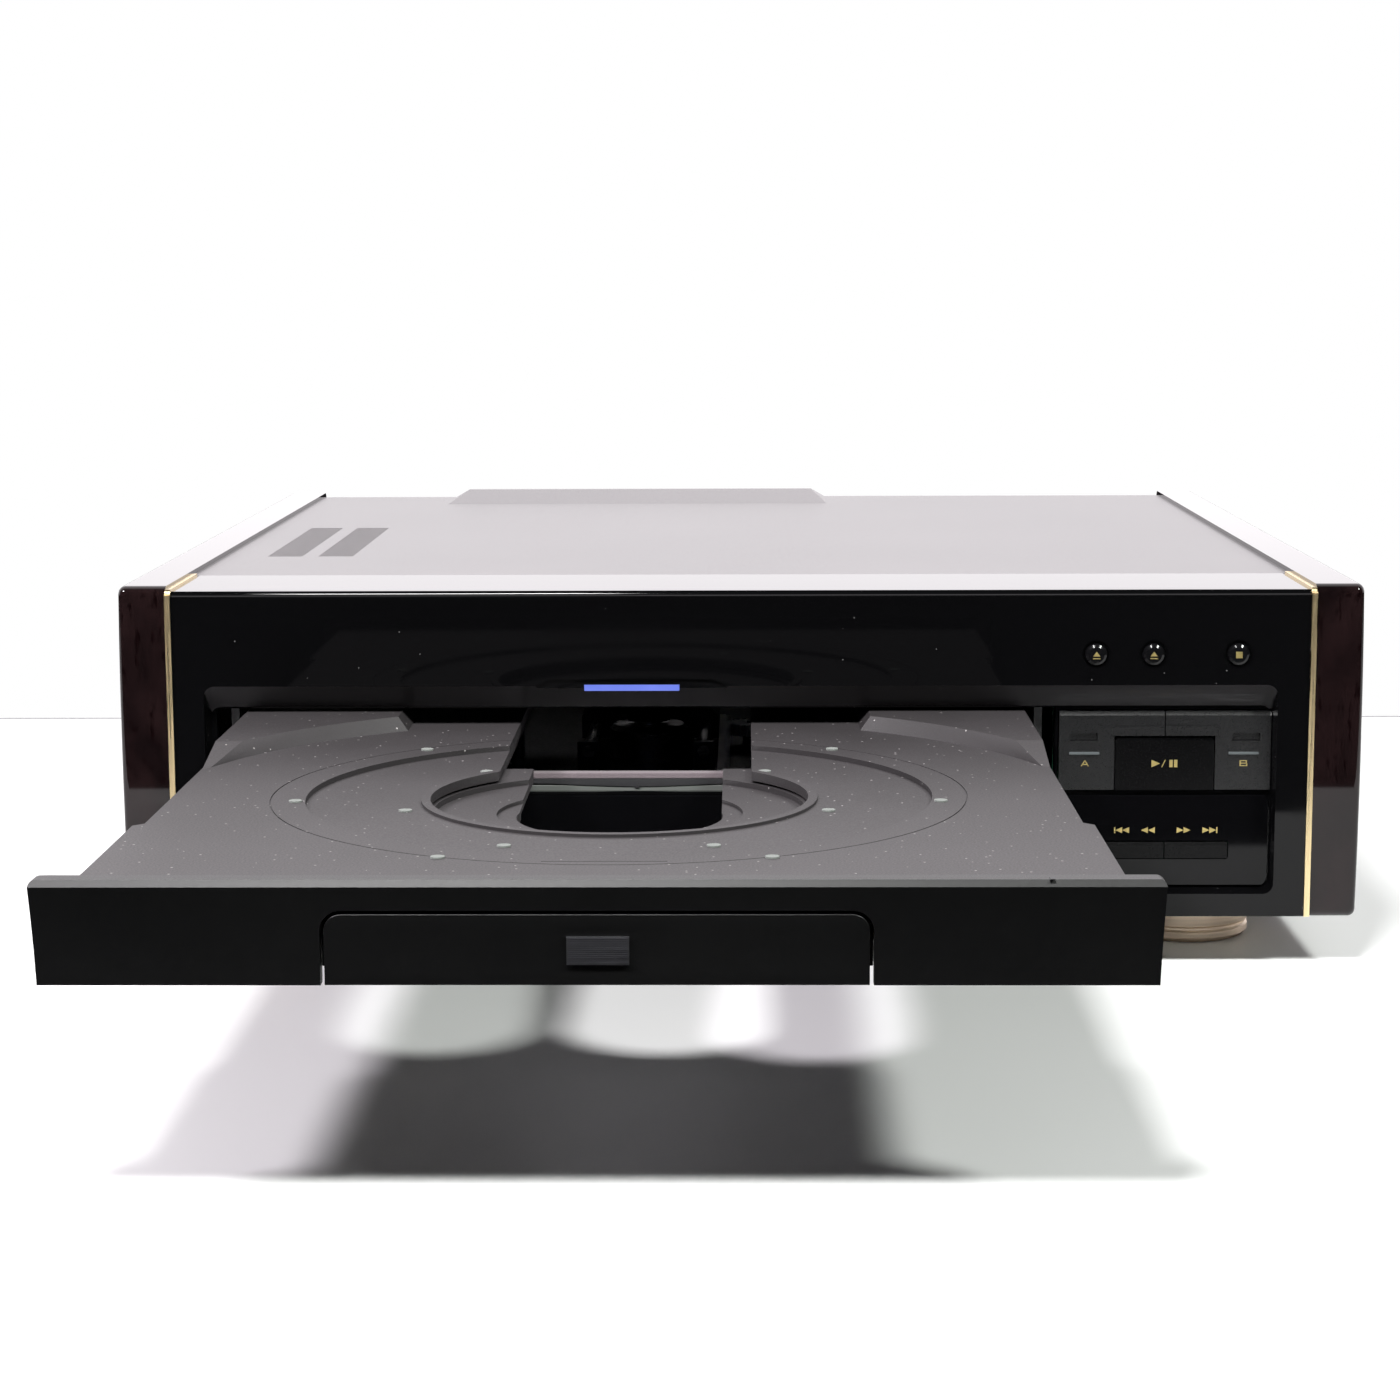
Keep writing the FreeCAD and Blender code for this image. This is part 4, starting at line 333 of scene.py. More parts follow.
# finishes of single pieces that aren't their slot's own
buttonGloss = polishedBlack("buttonGloss", (0.004, 0.004, 0.0045), 0.12)
markGold = paleGold("markGold", (0.62, 0.5, 0.2), stretch=(1, 1, 1), roughness=0.45)
badgeSilver = brushedMetal("badgeSilver", (0.2, 0.2, 0.22), (0.26, 0.26, 0.28), 0.4, stretch=(0.02, 1, 1))
sillGrey = mouldedPlastic("sillGrey", (0.12, 0.13, 0.12), (0.17, 0.18, 0.17), 0.5)
sillPile = feltPile("sillPile", (0.13, 0.105, 0.115), (0.2, 0.165, 0.18))
playSatin = mouldedPlastic("playSatin", (0.0012, 0.0012, 0.0014), (0.002, 0.002, 0.0022), 0.22,
                           grain=2400, depth=0.00002, shine=0.15)
# the ledges' grey is a painted highlight, in place of the light their sloped tops catch
ledgePaintedHighlight = mouldedPlastic("ledgePaintedHighlight", (0.05, 0.058, 0.06), (0.075, 0.085, 0.088), 0.35,
                           grain=2400, depth=0.00002)
ringColours = {
    "yellow": mouldedPlastic("ringYellow", (0.7, 0.5, 0.03), (0.8, 0.58, 0.05), 0.4),
    "white": mouldedPlastic("ringWhite", (0.7, 0.7, 0.66), (0.8, 0.8, 0.76), 0.4),
    "red": mouldedPlastic("ringRed", (0.5, 0.03, 0.02), (0.6, 0.05, 0.03), 0.4),
}
ownFinishes = {
    "small_disc_eject_button": buttonGloss,
    "large_disc_eject_button": buttonGloss,
    "stop_button": buttonGloss,
    "turntable": playSatin,
    "clamper": playSatin,
    "lift_deck": finishes["dark_steel"],
    "clamp_bridge": finishes["dark_steel"],
}

for node, slotName in slotOf.items():
    nodes[node].data.materials.clear()
    nodes[node].data.materials.append(ownFinishes.get(node, finishes[slotName]))
print("finishes on", len(nodes), "nodes")


def newPiece(name, mesh, body, finish):
    piece = bpy.data.objects.new(name, mesh)
    bpy.context.scene.collection.objects.link(piece)
    mesh.materials.clear()
    mesh.materials.append(finish)
    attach(piece, body)
    return piece


def meshOf(name, work):
    bmesh.ops.recalc_face_normals(work, faces=work.faces)
    mesh = bpy.data.meshes.new(name)
    work.to_mesh(mesh)
    work.free()
    return mesh


def addPlate(work, outline, front, back):
    # a flat closed plate: its outline as (x, z) and the two y values it lies between, in millimetres
    rings = [[work.verts.new((x * mm, y * mm, z * mm)) for x, z in outline] for y in (front, back)]
    work.faces.new(rings[0])
    work.faces.new(list(reversed(rings[1])))
    for here in range(len(outline)):
        there = (here + 1) % len(outline)
        work.faces.new((rings[0][there], rings[0][here], rings[1][here], rings[1][there]))


def addBar(work, left, right, low, high, front, back):
    addPlate(work, [(left, low), (right, low), (right, high), (left, high)], front, back)


def roundEdges(work, edges, width, steps=2):
    bmesh.ops.bevel(work, geom=edges, offset=width * mm, offset_type="OFFSET", segments=steps,
                    profile=0.5, affect="EDGES", clamp_overlap=True)


seamGap = 0.001 * mm  # corners this near are one
flatTurn = 0.02  # radians; faces that turn less than this are one


def copyOf(node):
    # the node's own shape in place, with its seams joined
    work = bmesh.new()
    work.from_mesh(nodes[node].data)
    work.transform(nodes[node].matrix_world)
    bmesh.ops.remove_doubles(work, verts=work.verts, dist=seamGap)
    return work


def mergedCopy(node):
    # the same with the triangles of each flat face merged
    work = copyOf(node)
    bmesh.ops.dissolve_limit(work, angle_limit=flatTurn, verts=work.verts, edges=work.edges)
    return work


# sloped top edges: the front face's y, the top's z and how high the slope stands, in millimetres
# a key or rocker is a body of its own, and the window is on the main one
slopes = {
    "keyASloped": {"node": "key_a", "face": -62.0, "top": 96.8, "high": 1.7},
    "keyBSloped": {"node": "key_b", "face": -62.0, "top": 96.8, "high": 1.7},
    "playKeySloped": {"node": "play_key", "face": -62.4, "top": 87.0, "high": 1.3, "finish": playSatin},
    "powerKeySloped": {"node": "power_key", "face": -62.2, "top": 46.6, "high": 1.2},
    "rockerLeftSloped": {"node": "rocker_left", "face": -62.2, "top": 46.6, "high": 1.2,
                         "finish": playSatin},
    "rockerRightSloped": {"node": "rocker_right", "face": -62.2, "top": 46.6, "high": 1.2,
                          "finish": playSatin},
    "windowSloped": {"node": "display_window", "body": "body", "face": -61.4, "top": 64.7, "high": 0.45},
}
slopeTurn = math.radians(34.5)  # the slope's normal above level


def sloped(name, look):
    work = mergedCopy(look["node"])
    start = Vector((0, look["face"] * mm, (look["top"] - look["high"]) * mm))
    away = Vector((0, -math.cos(slopeTurn), math.sin(slopeTurn)))
    everything = work.verts[:] + work.edges[:] + work.faces[:]
    bmesh.ops.bisect_plane(work, geom=everything, dist=0.0001 * mm, plane_co=start, plane_no=away,
                           clear_outer=True)
    rim = [edge for edge in work.edges if edge.is_boundary]
    bmesh.ops.holes_fill(work, edges=rim, sides=0)
    slotName = slotOf[look["node"]]
    piece = newPiece(name, meshOf(name, work), look.get("body", look["node"]),
                     look.get("finish", finishes[slotName]))
    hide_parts(look["node"])


for slopeName, slopeLook in slopes.items():
    sloped(slopeName, slopeLook)


# the small door's front edges are rounded: the round's width and how far back its edges lie, in millimetres
# a rounded edge lies between a face whose normal's y is below ahead and one whose y is nearer 0 than aside
doorRound = {"width": 0.3, "steps": 4, "reach": 1.2, "ahead": -0.9, "aside": 0.3}


def roundedDoor(look):
    work = mergedCopy("small_tray_door")
    front = min(vert.co.y for vert in work.verts) + look["reach"] * mm
    rims = []
    for edge in work.edges:
        turns = sorted(face.normal.y for face in edge.link_faces)
        betweenFaces = len(turns) == 2 and turns[0] < look["ahead"] and abs(turns[1]) < look["aside"]
        if betweenFaces and edge.is_convex and all(vert.co.y < front for vert in edge.verts):
            rims.append(edge)
    roundEdges(work, rims, look["width"], look["steps"])
    piece = newPiece("smallDoorRounded", meshOf("smallDoorRounded", work), "small_tray",
                     finishes["door_black"])
    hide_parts("small_tray_door")


roundedDoor(doorRound)
print("sloped and rounded", len(slopes) + 1, "front pieces")

# the small tray is open behind its disc as wide as the large tray's slot; in millimetres
trayCut = {"left": -84.5, "right": 6.0, "low": 79.0, "high": 89.0, "front": -130.5, "back": -10.0}


def openedTray(look):
    cutter = bmesh.new()
    addBar(cutter, look["left"], look["right"], look["low"], look["high"], look["front"], look["back"])
    knife = bpy.data.objects.new("trayKnife", meshOf("trayKnife", cutter))
    bpy.context.scene.collection.objects.link(knife)
    tray = bpy.data.objects.new("smallTrayOpened", meshOf("smallTrayOpened", copyOf("small_tray")))
    bpy.context.scene.collection.objects.link(tray)
    cut = tray.modifiers.new("cut", "BOOLEAN")
    cut.operation = "DIFFERENCE"
    cut.solver = "EXACT"
    cut.object = knife
    state = bpy.context.evaluated_depsgraph_get()
    mesh = bpy.data.meshes.new_from_object(tray.evaluated_get(state))
    for spare in (tray, knife):
        bpy.data.objects.remove(spare)
    piece = newPiece("smallTrayShell", mesh, "small_tray", finishes["tray_charcoal"])
    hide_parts("small_tray")


openedTray(trayCut)

# gold printed marks: the faces they lie on and their sizes, in millimetres
markLook = {"thick": 0.06, "sink": 0.04, "buttonFace": -69.78, "keyFace": -62.4, "letterFace": -62.0,
            "windowFace": -61.4}
ejectLook = {"half": 1.35, "foot": -0.4, "tip": 1.45, "barLow": -1.4, "barHigh": -1.0}
skipLook = {"reach": 2.6, "half": 1.15, "barEnd": 3.05}


def barMark(left, right, low, high, lean=0.0):
    return [(left, low), (right, low), (right + lean, high), (left + lean, high)]


def ejectMark(x, z):
    half, foot = ejectLook["half"], z + ejectLook["foot"]
    return [[(x - half, foot), (x + half, foot), (x, z + ejectLook["tip"])],
            barMark(x - half, x + half, z + ejectLook["barLow"], z + ejectLook["barHigh"])]


def arrowMark(x, z, reach, half):
    # points to the right where reach is positive
    outline = [(x, z - half), (x + reach, z), (x, z + half)]
    return outline if reach > 0 else outline[::-1]


def skipMark(x, z, way, bar):
    # two arrows, and a bar at their tips where bar is true; way is 1 to the right and -1 to the left
    reach, half = skipLook["reach"], skipLook["half"]
    arrows = [arrowMark(x + way * shift, z, way * reach, half) for shift in (-reach, 0.0)]
    if bar:
        left, right = sorted((x + way * reach, x + way * skipLook["barEnd"]))
        arrows.append(barMark(left, right, z - half, z + half))
    return arrows


def printed(name, body, face, outlines):
    work = bmesh.new()
    for outline in outlines:
        addPlate(work, outline, face - markLook["thick"], face + markLook["sink"])
    newPiece(name, meshOf(name, work), body, markGold)


playMark = [arrowMark(154.8, 76.85, 3.2, 1.4), barMark(158.5, 158.85, 75.45, 78.25, 1.3),
            barMark(161.5, 162.75, 75.45, 78.25), barMark(163.25, 164.5, 75.45, 78.25)]
letterA = [barMark(128.3, 128.75, 75.8, 78.0, 1.35), barMark(130.95, 131.4, 75.8, 78.0, -1.35),
           barMark(129.0, 130.7, 76.3, 76.65)]
letterB = [barMark(187.9, 188.3, 75.8, 78.0), barMark(190.4, 190.8, 75.8, 76.8),
           barMark(190.2, 190.6, 77.0, 78.0), barMark(188.3, 190.4, 75.8, 76.1),
           barMark(188.3, 190.4, 76.75, 77.05), barMark(188.3, 190.2, 77.7, 78.0)]
marks = {
    "smallEjectMark": ("small_disc_eject_button", "buttonFace", ejectMark(132.7, 118.9)),
    "largeEjectMark": ("large_disc_eject_button", "buttonFace", ejectMark(154.0, 118.9)),
    "stopMark": ("stop_button", "buttonFace", [barMark(184.3, 186.7, 117.8, 120.2)]),
    "playPauseMark": ("play_key", "keyFace", playMark),
    "leftLetter": ("key_a", "letterFace", letterA),
    "rightLetter": ("key_b", "letterFace", letterB),
    "skipMarks": ("body", "windowFace",
                  skipMark(144.4, 51.15, -1, True) + skipMark(154.1, 51.15, -1, False)
                  + skipMark(167.5, 51.15, 1, False) + skipMark(177.2, 51.15, 1, True)),
}
for markName, (markBody, markFace, markShapes) in marks.items():
    printed(markName, markBody, markLook[markFace], markShapes)

# a finger ledge with a sloped top on each outer key, as left and right end; in millimetres. The ledge is grey
# where the key is black: a painted highlight on its sloped top
ledgeLook = {"low": 80.3, "high": 81.5, "lip": 0.3, "proud": 0.8, "sink": 0.3, "face": -62.0,
             "ends": {"ledgeLeft": ("key_a", 123.9, 135.2), "ledgeRight": ("key_b", 183.6, 194.9)}}


def makeLedge(name, look):
    body, left, right = look["ends"][name]
    work = bmesh.new()
    back, front = look["face"] + look["sink"], look["face"] - look["proud"]
    section = [(back, look["low"]), (front, look["low"]), (front, look["low"] + look["lip"]),
               (back, look["high"])]
    ends = [[work.verts.new((x * mm, y * mm, z * mm)) for y, z in section] for x in (left, right)]
    work.faces.new(ends[0])
    work.faces.new(ends[1][::-1])
    for corner in range(len(section)):
        after = (corner + 1) % len(section)
        work.faces.new((ends[0][corner], ends[1][corner], ends[1][after], ends[0][after]))
    newPiece(name, meshOf(name, work), body, ledgePaintedHighlight)


for ledgeName in ledgeLook["ends"]:
    makeLedge(ledgeName, ledgeLook)

# the sill behind the closed door: a grey ledge, a dark bar with a bowed foot and a strip of pile
# heights are z, all in millimetres
# bow is how far the foot of the bar rises on either side of its middle, and bend the power it rises by
sillLook = {"left": -112.0, "right": 34.0, "middle": -38.9, "front": -55.4, "back": -50.5,
            "ledge": {"low": 64.9, "high": 67.5, "step": 0.3, "round": 0.25},
            "bar": {"bow": 1.2, "bend": 1.5, "half": 33.5, "steps": 16, "foot": 67.0, "ends": 68.2,
                    "high": 70.0},
            "block": {"half": 0.9, "low": 66.6, "high": 69.8, "proud": 0.2, "sink": 0.4},
            "pile": {"high": 72.3, "step": 0.1, "round": 0.35}}


def makeSill(look):
    left, right, middle, front, back = (look[key] for key in ("left", "right", "middle", "front", "back"))
    ledge, bar, block, pile = (look[key] for key in ("ledge", "bar", "block", "pile"))

    work = bmesh.new()
    addBar(work, left, right, ledge["low"], ledge["high"], front + ledge["step"], back)
    roundEdges(work, work.edges[:], ledge["round"])
    newPiece("sillLedge", meshOf("sillLedge", work), "body", sillGrey)

    work = bmesh.new()
    foot = []
    for step in range(bar["steps"] + 1):
        share = 2 * step / bar["steps"] - 1
        foot.append((middle + bar["half"] * share, bar["foot"] + bar["bow"] * abs(share) ** bar["bend"]))
    outline = [(left, bar["ends"])] + foot + [(right, bar["ends"]), (right, bar["high"]), (left, bar["high"])]
    addPlate(work, outline, front, back)
    addBar(work, middle - block["half"], middle + block["half"], block["low"], block["high"],
           front - block["proud"], front + block["sink"])
    newPiece("sillBar", meshOf("sillBar", work), "body", finishes["moulding"])

    work = bmesh.new()
    addBar(work, left, right, bar["high"], pile["high"], front + pile["step"], back)
    roundEdges(work, work.edges[:], pile["round"])
    newPiece("sillPile", meshOf("sillPile", work), "body", sillPile)


makeSill(sillLook)

# dark lips behind the small door's side gaps, and a chip in the big door's top edge; in millimetres
lipLook = {"lefts": (-115.9, 36.1), "wide": 1.4, "low": 71.5, "high": 80.5, "front": -354.9, "back": -354.0,
           "round": 0.2}
chipLook = {"outline": [(85.7, 97.0), (87.0, 97.0), (87.2, 97.24), (86.6, 97.26), (85.9, 97.22)],
            "front": -360.06, "back": -357.2}


def makeLips(look):
    work = bmesh.new()
    for left in look["lefts"]:
        addBar(work, left, left + look["wide"], look["low"], look["high"], look["front"], look["back"])
    roundEdges(work, work.edges[:], look["round"])
    newPiece("gapLips", meshOf("gapLips", work), "large_tray", finishes["door_black"])


def makeChip(look):
    work = bmesh.new()
    addPlate(work, look["outline"], look["front"], look["back"])
    newPiece("edgeChip", meshOf("edgeChip", work), "large_tray", finishes["moulding"])


makeLips(lipLook)
makeChip(chipLook)
print("small tray, marks, ledges, sill, lips and chip")

growSeed = 7  # fixes every random turn
facets = {"head": 28, "ring": 32}  # sides of a screw's head and of a socket's ring


def growPieces(name, places, build, values, body, finish):
    # one shape, built in a node tree from its named sizes, at every place; places in millimetres
    tree = bpy.data.node_groups.new(name, "GeometryNodeTree")
    sockets = tree.interface
    sockets.new_socket("Places", in_out="INPUT", socket_type="NodeSocketGeometry")
    for label in values:
        sockets.new_socket(label, in_out="INPUT", socket_type="NodeSocketFloat")
    sockets.new_socket("Pieces", in_out="OUTPUT", socket_type="NodeSocketGeometry")
    source = tree.nodes.new("NodeGroupInput")
    spots = tree.nodes.new("GeometryNodeMeshToPoints")
    copies = tree.nodes.new("GeometryNodeInstanceOnPoints")
    real = tree.nodes.new("GeometryNodeRealizeInstances")
    paint = tree.nodes.new("GeometryNodeSetMaterial")
    paint.inputs["Material"].default_value = finish
    end = tree.nodes.new("NodeGroupOutput")
    link = tree.links.new
    link(source.outputs["Places"], spots.inputs["Mesh"])
    link(spots.outputs["Points"], copies.inputs["Points"])
    link(build(tree, source.outputs), copies.inputs["Instance"])
    if "Spin" in values:
        # each copy is turned about y by a random share of it
        spin = tree.nodes.new("FunctionNodeRandomValue")
        spin.data_type = "FLOAT_VECTOR"
        spin.inputs["Min"].default_value = (0, 0, 0)
        spin.inputs["Seed"].default_value = growSeed
        turn = tree.nodes.new("ShaderNodeCombineXYZ")
        link(source.outputs["Spin"], turn.inputs["Y"])
        link(turn.outputs["Vector"], spin.inputs["Max"])
        link(spin.outputs["Value"], copies.inputs["Rotation"])
    link(copies.outputs["Instances"], real.inputs["Geometry"])
    link(real.outputs["Geometry"], paint.inputs["Geometry"])
    link(paint.outputs["Geometry"], end.inputs["Pieces"])
    seeds = bpy.data.meshes.new(name + "Places")
    seeds.from_pydata([tuple(value * mm for value in place) for place in places], [], [])
    holder = bpy.data.objects.new(name + "Places", seeds)
    bpy.context.scene.collection.objects.link(holder)
    grow = holder.modifiers.new("grow", "NODES")
    grow.node_group = tree
    for item in sockets.items_tree:
        if item.name in values:
            grow[item.identifier] = float(values[item.name])
    state = bpy.context.evaluated_depsgraph_get()
    mesh = bpy.data.meshes.new_from_object(holder.evaluated_get(state))
    bpy.data.objects.remove(holder)
    return newPiece(name, mesh, body, finish)


def boxNode(tree, across, deep, high):
    size = tree.nodes.new("ShaderNodeCombineXYZ")
    box = tree.nodes.new("GeometryNodeMeshCube")
    for label, value in (("X", across), ("Y", deep), ("Z", high)):
        tree.links.new(value, size.inputs[label])
    tree.links.new(size.outputs["Vector"], box.inputs["Size"])
    return box.outputs["Mesh"]


def facingBack(tree, geometry):
    # from standing on z to lying along y
    turned = tree.nodes.new("GeometryNodeTransform")
    turned.inputs["Rotation"].default_value = (-math.pi / 2, 0, 0)
    tree.links.new(geometry, turned.inputs["Geometry"])
    return turned.outputs["Geometry"]


def crossHead(tree, given):
    # a flat cone with a cross cut in it, its back on the panel, facing +y
    head = tree.nodes.new("GeometryNodeMeshCone")
    head.inputs["Vertices"].default_value = facets["head"]
    tree.links.new(given["Head Top"], head.inputs["Radius Top"])
    tree.links.new(given["Head Foot"], head.inputs["Radius Bottom"])
    tree.links.new(given["Head Height"], head.inputs["Depth"])
    cut = tree.nodes.new("GeometryNodeMeshBoolean")
    cut.operation = "DIFFERENCE"
    tree.links.new(head.outputs["Mesh"], cut.inputs["Mesh 1"])
    for first, second in (("Slot Long", "Slot Wide"), ("Slot Wide", "Slot Long")):
        slot = boxNode(tree, given[first], given[second], given["Slot High"])
        tree.links.new(slot, cut.inputs["Mesh 2"])
    return facingBack(tree, cut.outputs["Mesh"])


def squareRing(tree, given):
    # a flat ring round the y axis
    circle = tree.nodes.new("GeometryNodeCurvePrimitiveCircle")
    circle.inputs["Resolution"].default_value = facets["ring"]
    tree.links.new(given["Ring Radius"], circle.inputs["Radius"])
    section = tree.nodes.new("GeometryNodeCurvePrimitiveQuadrilateral")
    tree.links.new(given["Ring Wide"], section.inputs["Width"])
    tree.links.new(given["Ring Thick"], section.inputs["Height"])
    sweep = tree.nodes.new("GeometryNodeCurveToMesh")
    tree.links.new(circle.outputs["Curve"], sweep.inputs["Curve"])
    tree.links.new(section.outputs["Curve"], sweep.inputs["Profile Curve"])
    return facingBack(tree, sweep.outputs["Mesh"])


def plainRib(tree, given):
    return boxNode(tree, given["Rib Long"], given["Rib Deep"], given["Rib High"])


# cover screws: cross heads where the plain ones sit, each row's z and its x values in millimetres
screwLook = {"Head Top": 0.0022, "Head Foot": 0.003, "Head Height": 0.0016, "Slot Long": 0.0034,
             "Slot Wide": 0.0007, "Slot High": 0.0012, "Spin": 1.5}  # metres and radians
screwPlaces = {"back": 352.0, "rows": {135.2: (-190.9, -95.45, 95.45, 190.9), 27.8: (-190.9, -57.3, 57.3)}}
screwSpots = [(x, screwPlaces["back"], z) for z, row in screwPlaces["rows"].items() for x in row]
screws = growPieces("crossScrews", screwSpots, crossHead, screwLook, "body", finishes["dark_steel"])
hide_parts("cover_screws")

# coloured rings round the rear sockets, one colour a row; sizes in metres, places in millimetres
ringLook = {"Ring Radius": 0.005, "Ring Wide": 0.0014, "Ring Thick": 0.0012}
ringPlaces = {"left": -120, "pitch": 14, "columns": 7, "back": 351.8,
              "rows": {"yellow": 90, "white": 76, "red": 62}}
for ringColour, ringHigh in ringPlaces["rows"].items():
    ringSpots = [(ringPlaces["left"] + ringPlaces["pitch"] * column, ringPlaces["back"], ringHigh)
                 for column in range(ringPlaces["columns"])]
    growPieces(ringColour + "SocketRings", ringSpots, squareRing, ringLook, "body", ringColours[ringColour])

# a bare badge on the small door: a plate and its fine raised lines; in millimetres, ribs in metres
badgeLook = {"left": -47.5, "right": -30.1, "low": 72.8, "high": 80.8, "face": -359.0, "thick": 0.12,
             "sink": 0.3, "round": 0.05, "lines": 14, "lineProud": 0.04}
ribLook = {"Rib Long": 0.0168, "Rib Deep": 0.00016, "Rib High": 0.00024}


def makeBadge(look):
    work = bmesh.new()
    front = look["face"] - look["thick"]
    addBar(work, look["left"], look["right"], look["low"], look["high"], front, look["face"] + look["sink"])
    roundEdges(work, work.edges[:], look["round"])
    newPiece("badgePlate", meshOf("badgePlate", work), "small_tray", badgeSilver)
    middle = (look["left"] + look["right"]) / 2
    pitch = (look["high"] - look["low"]) / (look["lines"] + 1)
    spots = [(middle, front - look["lineProud"], look["low"] + pitch * (line + 1))
             for line in range(look["lines"])]
    growPieces("badgeLines", spots, plainRib, ribLook, "small_tray", badgeSilver)


makeBadge(badgeLook)
print("screws, rings and badge")

# a pale table: its top, a rounded front edge, its front face and a grey strip at its rear; in metres
# a finish's lift is the light it sends to the camera alone
stageLook = {"side": 2.5, "front": -0.381, "back": 0.53, "edge": 0.006, "edgeSteps": 8, "drop": 0.6,
             "rear": 0.004, "stain": (0.45, 0.33, 0.24),
             "finishes": {"top": {"colour": (0.93, 0.93, 0.935), "lift": 0.0},
                          "face": {"colour": (0.93, 0.93, 0.935), "lift": 1.0},
                          "rear": {"colour": (0.2, 0.2, 0.22), "lift": 0.0}}}


def makeTable(look):
    front, back, edge, side, steps = (look[key] for key in ("front", "back", "edge", "side", "edgeSteps"))
    profile = [(back, -look["drop"]), (back, 0.0), (back - look["rear"], 0.0)]
    for step in range(steps + 1):
        turn = math.radians(90 * step / steps)
        profile.append((front + edge * (1 - math.sin(turn)), -edge * (1 - math.cos(turn))))
    profile.append((front, -look["drop"]))
    corners = [(x, y, z) for y, z in profile for x in (-side, side)]
    faces = [(2 * n, 2 * n + 2, 2 * n + 3, 2 * n + 1) for n in range(len(profile) - 1)]
    mesh = bpy.data.meshes.new("paleTable")
    mesh.from_pydata(corners, [], faces)
    table = bpy.data.objects.new("paleTable", mesh)
    bpy.context.scene.collection.objects.link(table)
    for part, laminate in look["finishes"].items():
        finish, tree, shader = newFinish(part + "Laminate", laminate["colour"], 0.0, 0.4, **{
            "Specular IOR Level": 0.25, "Emission Color": (1, 1, 1, 1)})
        stain = sums(tree, "MULTIPLY", specks(tree, 9, 0.035, 0.5),
                     spread(tree, cloudy(tree, 400, 3), 0.0, 1.0, 0.5, 0.6))
        tree.links.new(blended(tree, stain, laminate["colour"], look["stain"]), shader.inputs["Base Color"])
        tree.links.new(spread(tree, cloudy(tree, 7, 4), 0.34, 0.46), shader.inputs["Roughness"])
        path = tree.nodes.new("ShaderNodeLightPath")
        tree.links.new(sums(tree, "MULTIPLY", path.outputs["Is Camera Ray"], laminate["lift"]),
                       shader.inputs["Emission Strength"])
        mesh.materials.append(finish)
    # the strips run from the rear drop over the grey strip, the top and the edge to the front face
    topFinish, faceFinish, rearFinish = range(3)
    stripFinishes = [faceFinish, rearFinish, topFinish, topFinish] + [faceFinish] * steps
    for strip, index in zip(mesh.polygons, stripFinishes):
        strip.material_index = index


# the studio: white to the camera, and in gloss above the horizon towards the back; dim as a light
# dark and white are how far back, as a direction's y, the white starts and is full
studioLook = {"light": 0.16, "tint": (0.96, 0.97, 1.0), "under": 0.02, "horizon": -0.005, "dark": -0.15,
              "white": 0.25, "gloss": 1.75, "glossTint": (1.0, 0.965, 0.99)}


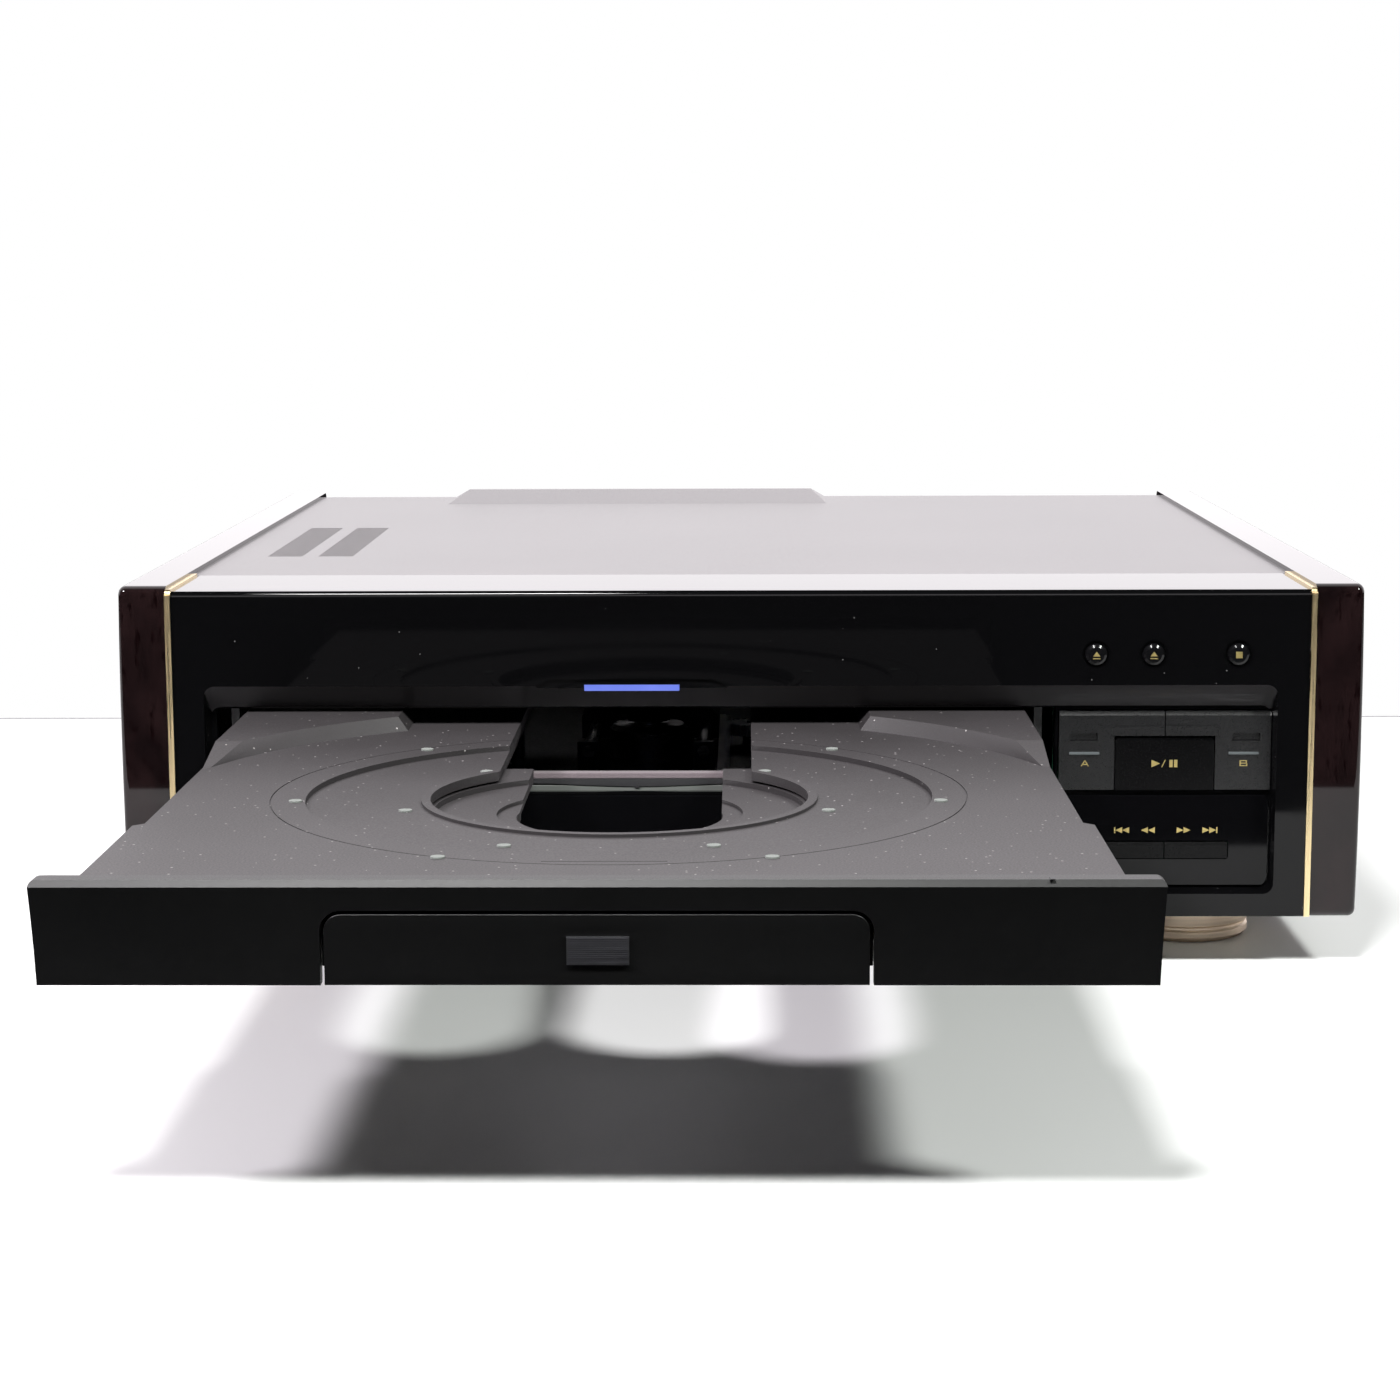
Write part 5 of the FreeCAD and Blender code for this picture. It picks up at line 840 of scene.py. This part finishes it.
def makeStudio(look):
    world = bpy.data.worlds.new("studio")
    world.use_nodes = True
    bpy.context.scene.world = world
    tree = world.node_tree
    tree.nodes.clear()
    path = tree.nodes.new("ShaderNodeLightPath")
    coords = tree.nodes.new("ShaderNodeTexCoord")
    split = tree.nodes.new("ShaderNodeSeparateXYZ")
    tree.links.new(coords.outputs["Generated"], split.inputs["Vector"])
    above = sums(tree, "MULTIPLY", sums(tree, "GREATER_THAN", split.outputs["Z"], look["horizon"]),
                 spread(tree, split.outputs["Y"], 0.0, 1.0, look["dark"], look["white"]))
    mirrored = sums(tree, "MAXIMUM", path.outputs["Is Glossy Ray"], path.outputs["Is Transmission Ray"])
    backdrop = tree.nodes.new("ShaderNodeBackground")
    backdrop.inputs["Color"].default_value = (1, 1, 1, 1)
    sheen = tree.nodes.new("ShaderNodeBackground")
    sheen.inputs["Color"].default_value = (*look["glossTint"], 1)
    sheen.inputs["Strength"].default_value = look["gloss"]
    soft = tree.nodes.new("ShaderNodeBackground")
    soft.inputs["Color"].default_value = (*look["tint"], 1)
    tree.links.new(spread(tree, above, look["under"], look["light"]), soft.inputs["Strength"])
    glossy = tree.nodes.new("ShaderNodeMixShader")
    seen = tree.nodes.new("ShaderNodeMixShader")
    out = tree.nodes.new("ShaderNodeOutputWorld")
    tree.links.new(sums(tree, "MULTIPLY", mirrored, above), glossy.inputs["Fac"])
    tree.links.new(soft.outputs["Background"], glossy.inputs[1])
    tree.links.new(sheen.outputs["Background"], glossy.inputs[2])
    tree.links.new(path.outputs["Is Camera Ray"], seen.inputs["Fac"])
    tree.links.new(glossy.outputs["Shader"], seen.inputs[1])
    tree.links.new(backdrop.outputs["Background"], seen.inputs[2])
    tree.links.new(seen.outputs["Shader"], out.inputs["Surface"])
    bpy.context.scene.view_settings.view_transform = "Standard"


# each lamp stands off its aim by these slopes for every metre of height; metres and watts
lampAim = (-0.04, -0.15, 0.08)
lamps = {
    "keyLamp": {"slope": (-0.16, -0.6), "height": 1.75, "size": (0.36, 0.3), "power": 45,
                "colour": (1.0, 1.0, 0.99)},
    "leftLamp": {"slope": (-0.78, -0.5), "height": 1.75, "size": (0.34, 0.3), "power": 52,
                 "colour": (1.0, 0.95, 1.0)},
    "rightLamp": {"slope": (0.8, -0.6), "height": 1.75, "size": (0.34, 0.3), "power": 47,
                  "colour": (0.96, 1.0, 0.95)},
}


def hangLamp(name, look):
    lamp = bpy.data.lights.new(name, "AREA")
    lamp.shape = "RECTANGLE"
    lamp.size, lamp.size_y = look["size"]
    lamp.energy = look["power"]
    lamp.color = look["colour"]
    holder = bpy.data.objects.new(name, lamp)
    bpy.context.scene.collection.objects.link(holder)
    aim = Vector(lampAim)
    place = aim + Vector((*look["slope"], 1)) * look["height"]
    turn = (aim - place).to_track_quat("-Z", "Y").to_matrix().to_4x4()
    holder.matrix_world = Matrix.Translation(place) @ turn


makeTable(stageLook)
makeStudio(studioLook)
for lampName, lampLook in lamps.items():
    hangLamp(lampName, lampLook)
print("table, studio and", len(lamps), "lamps")
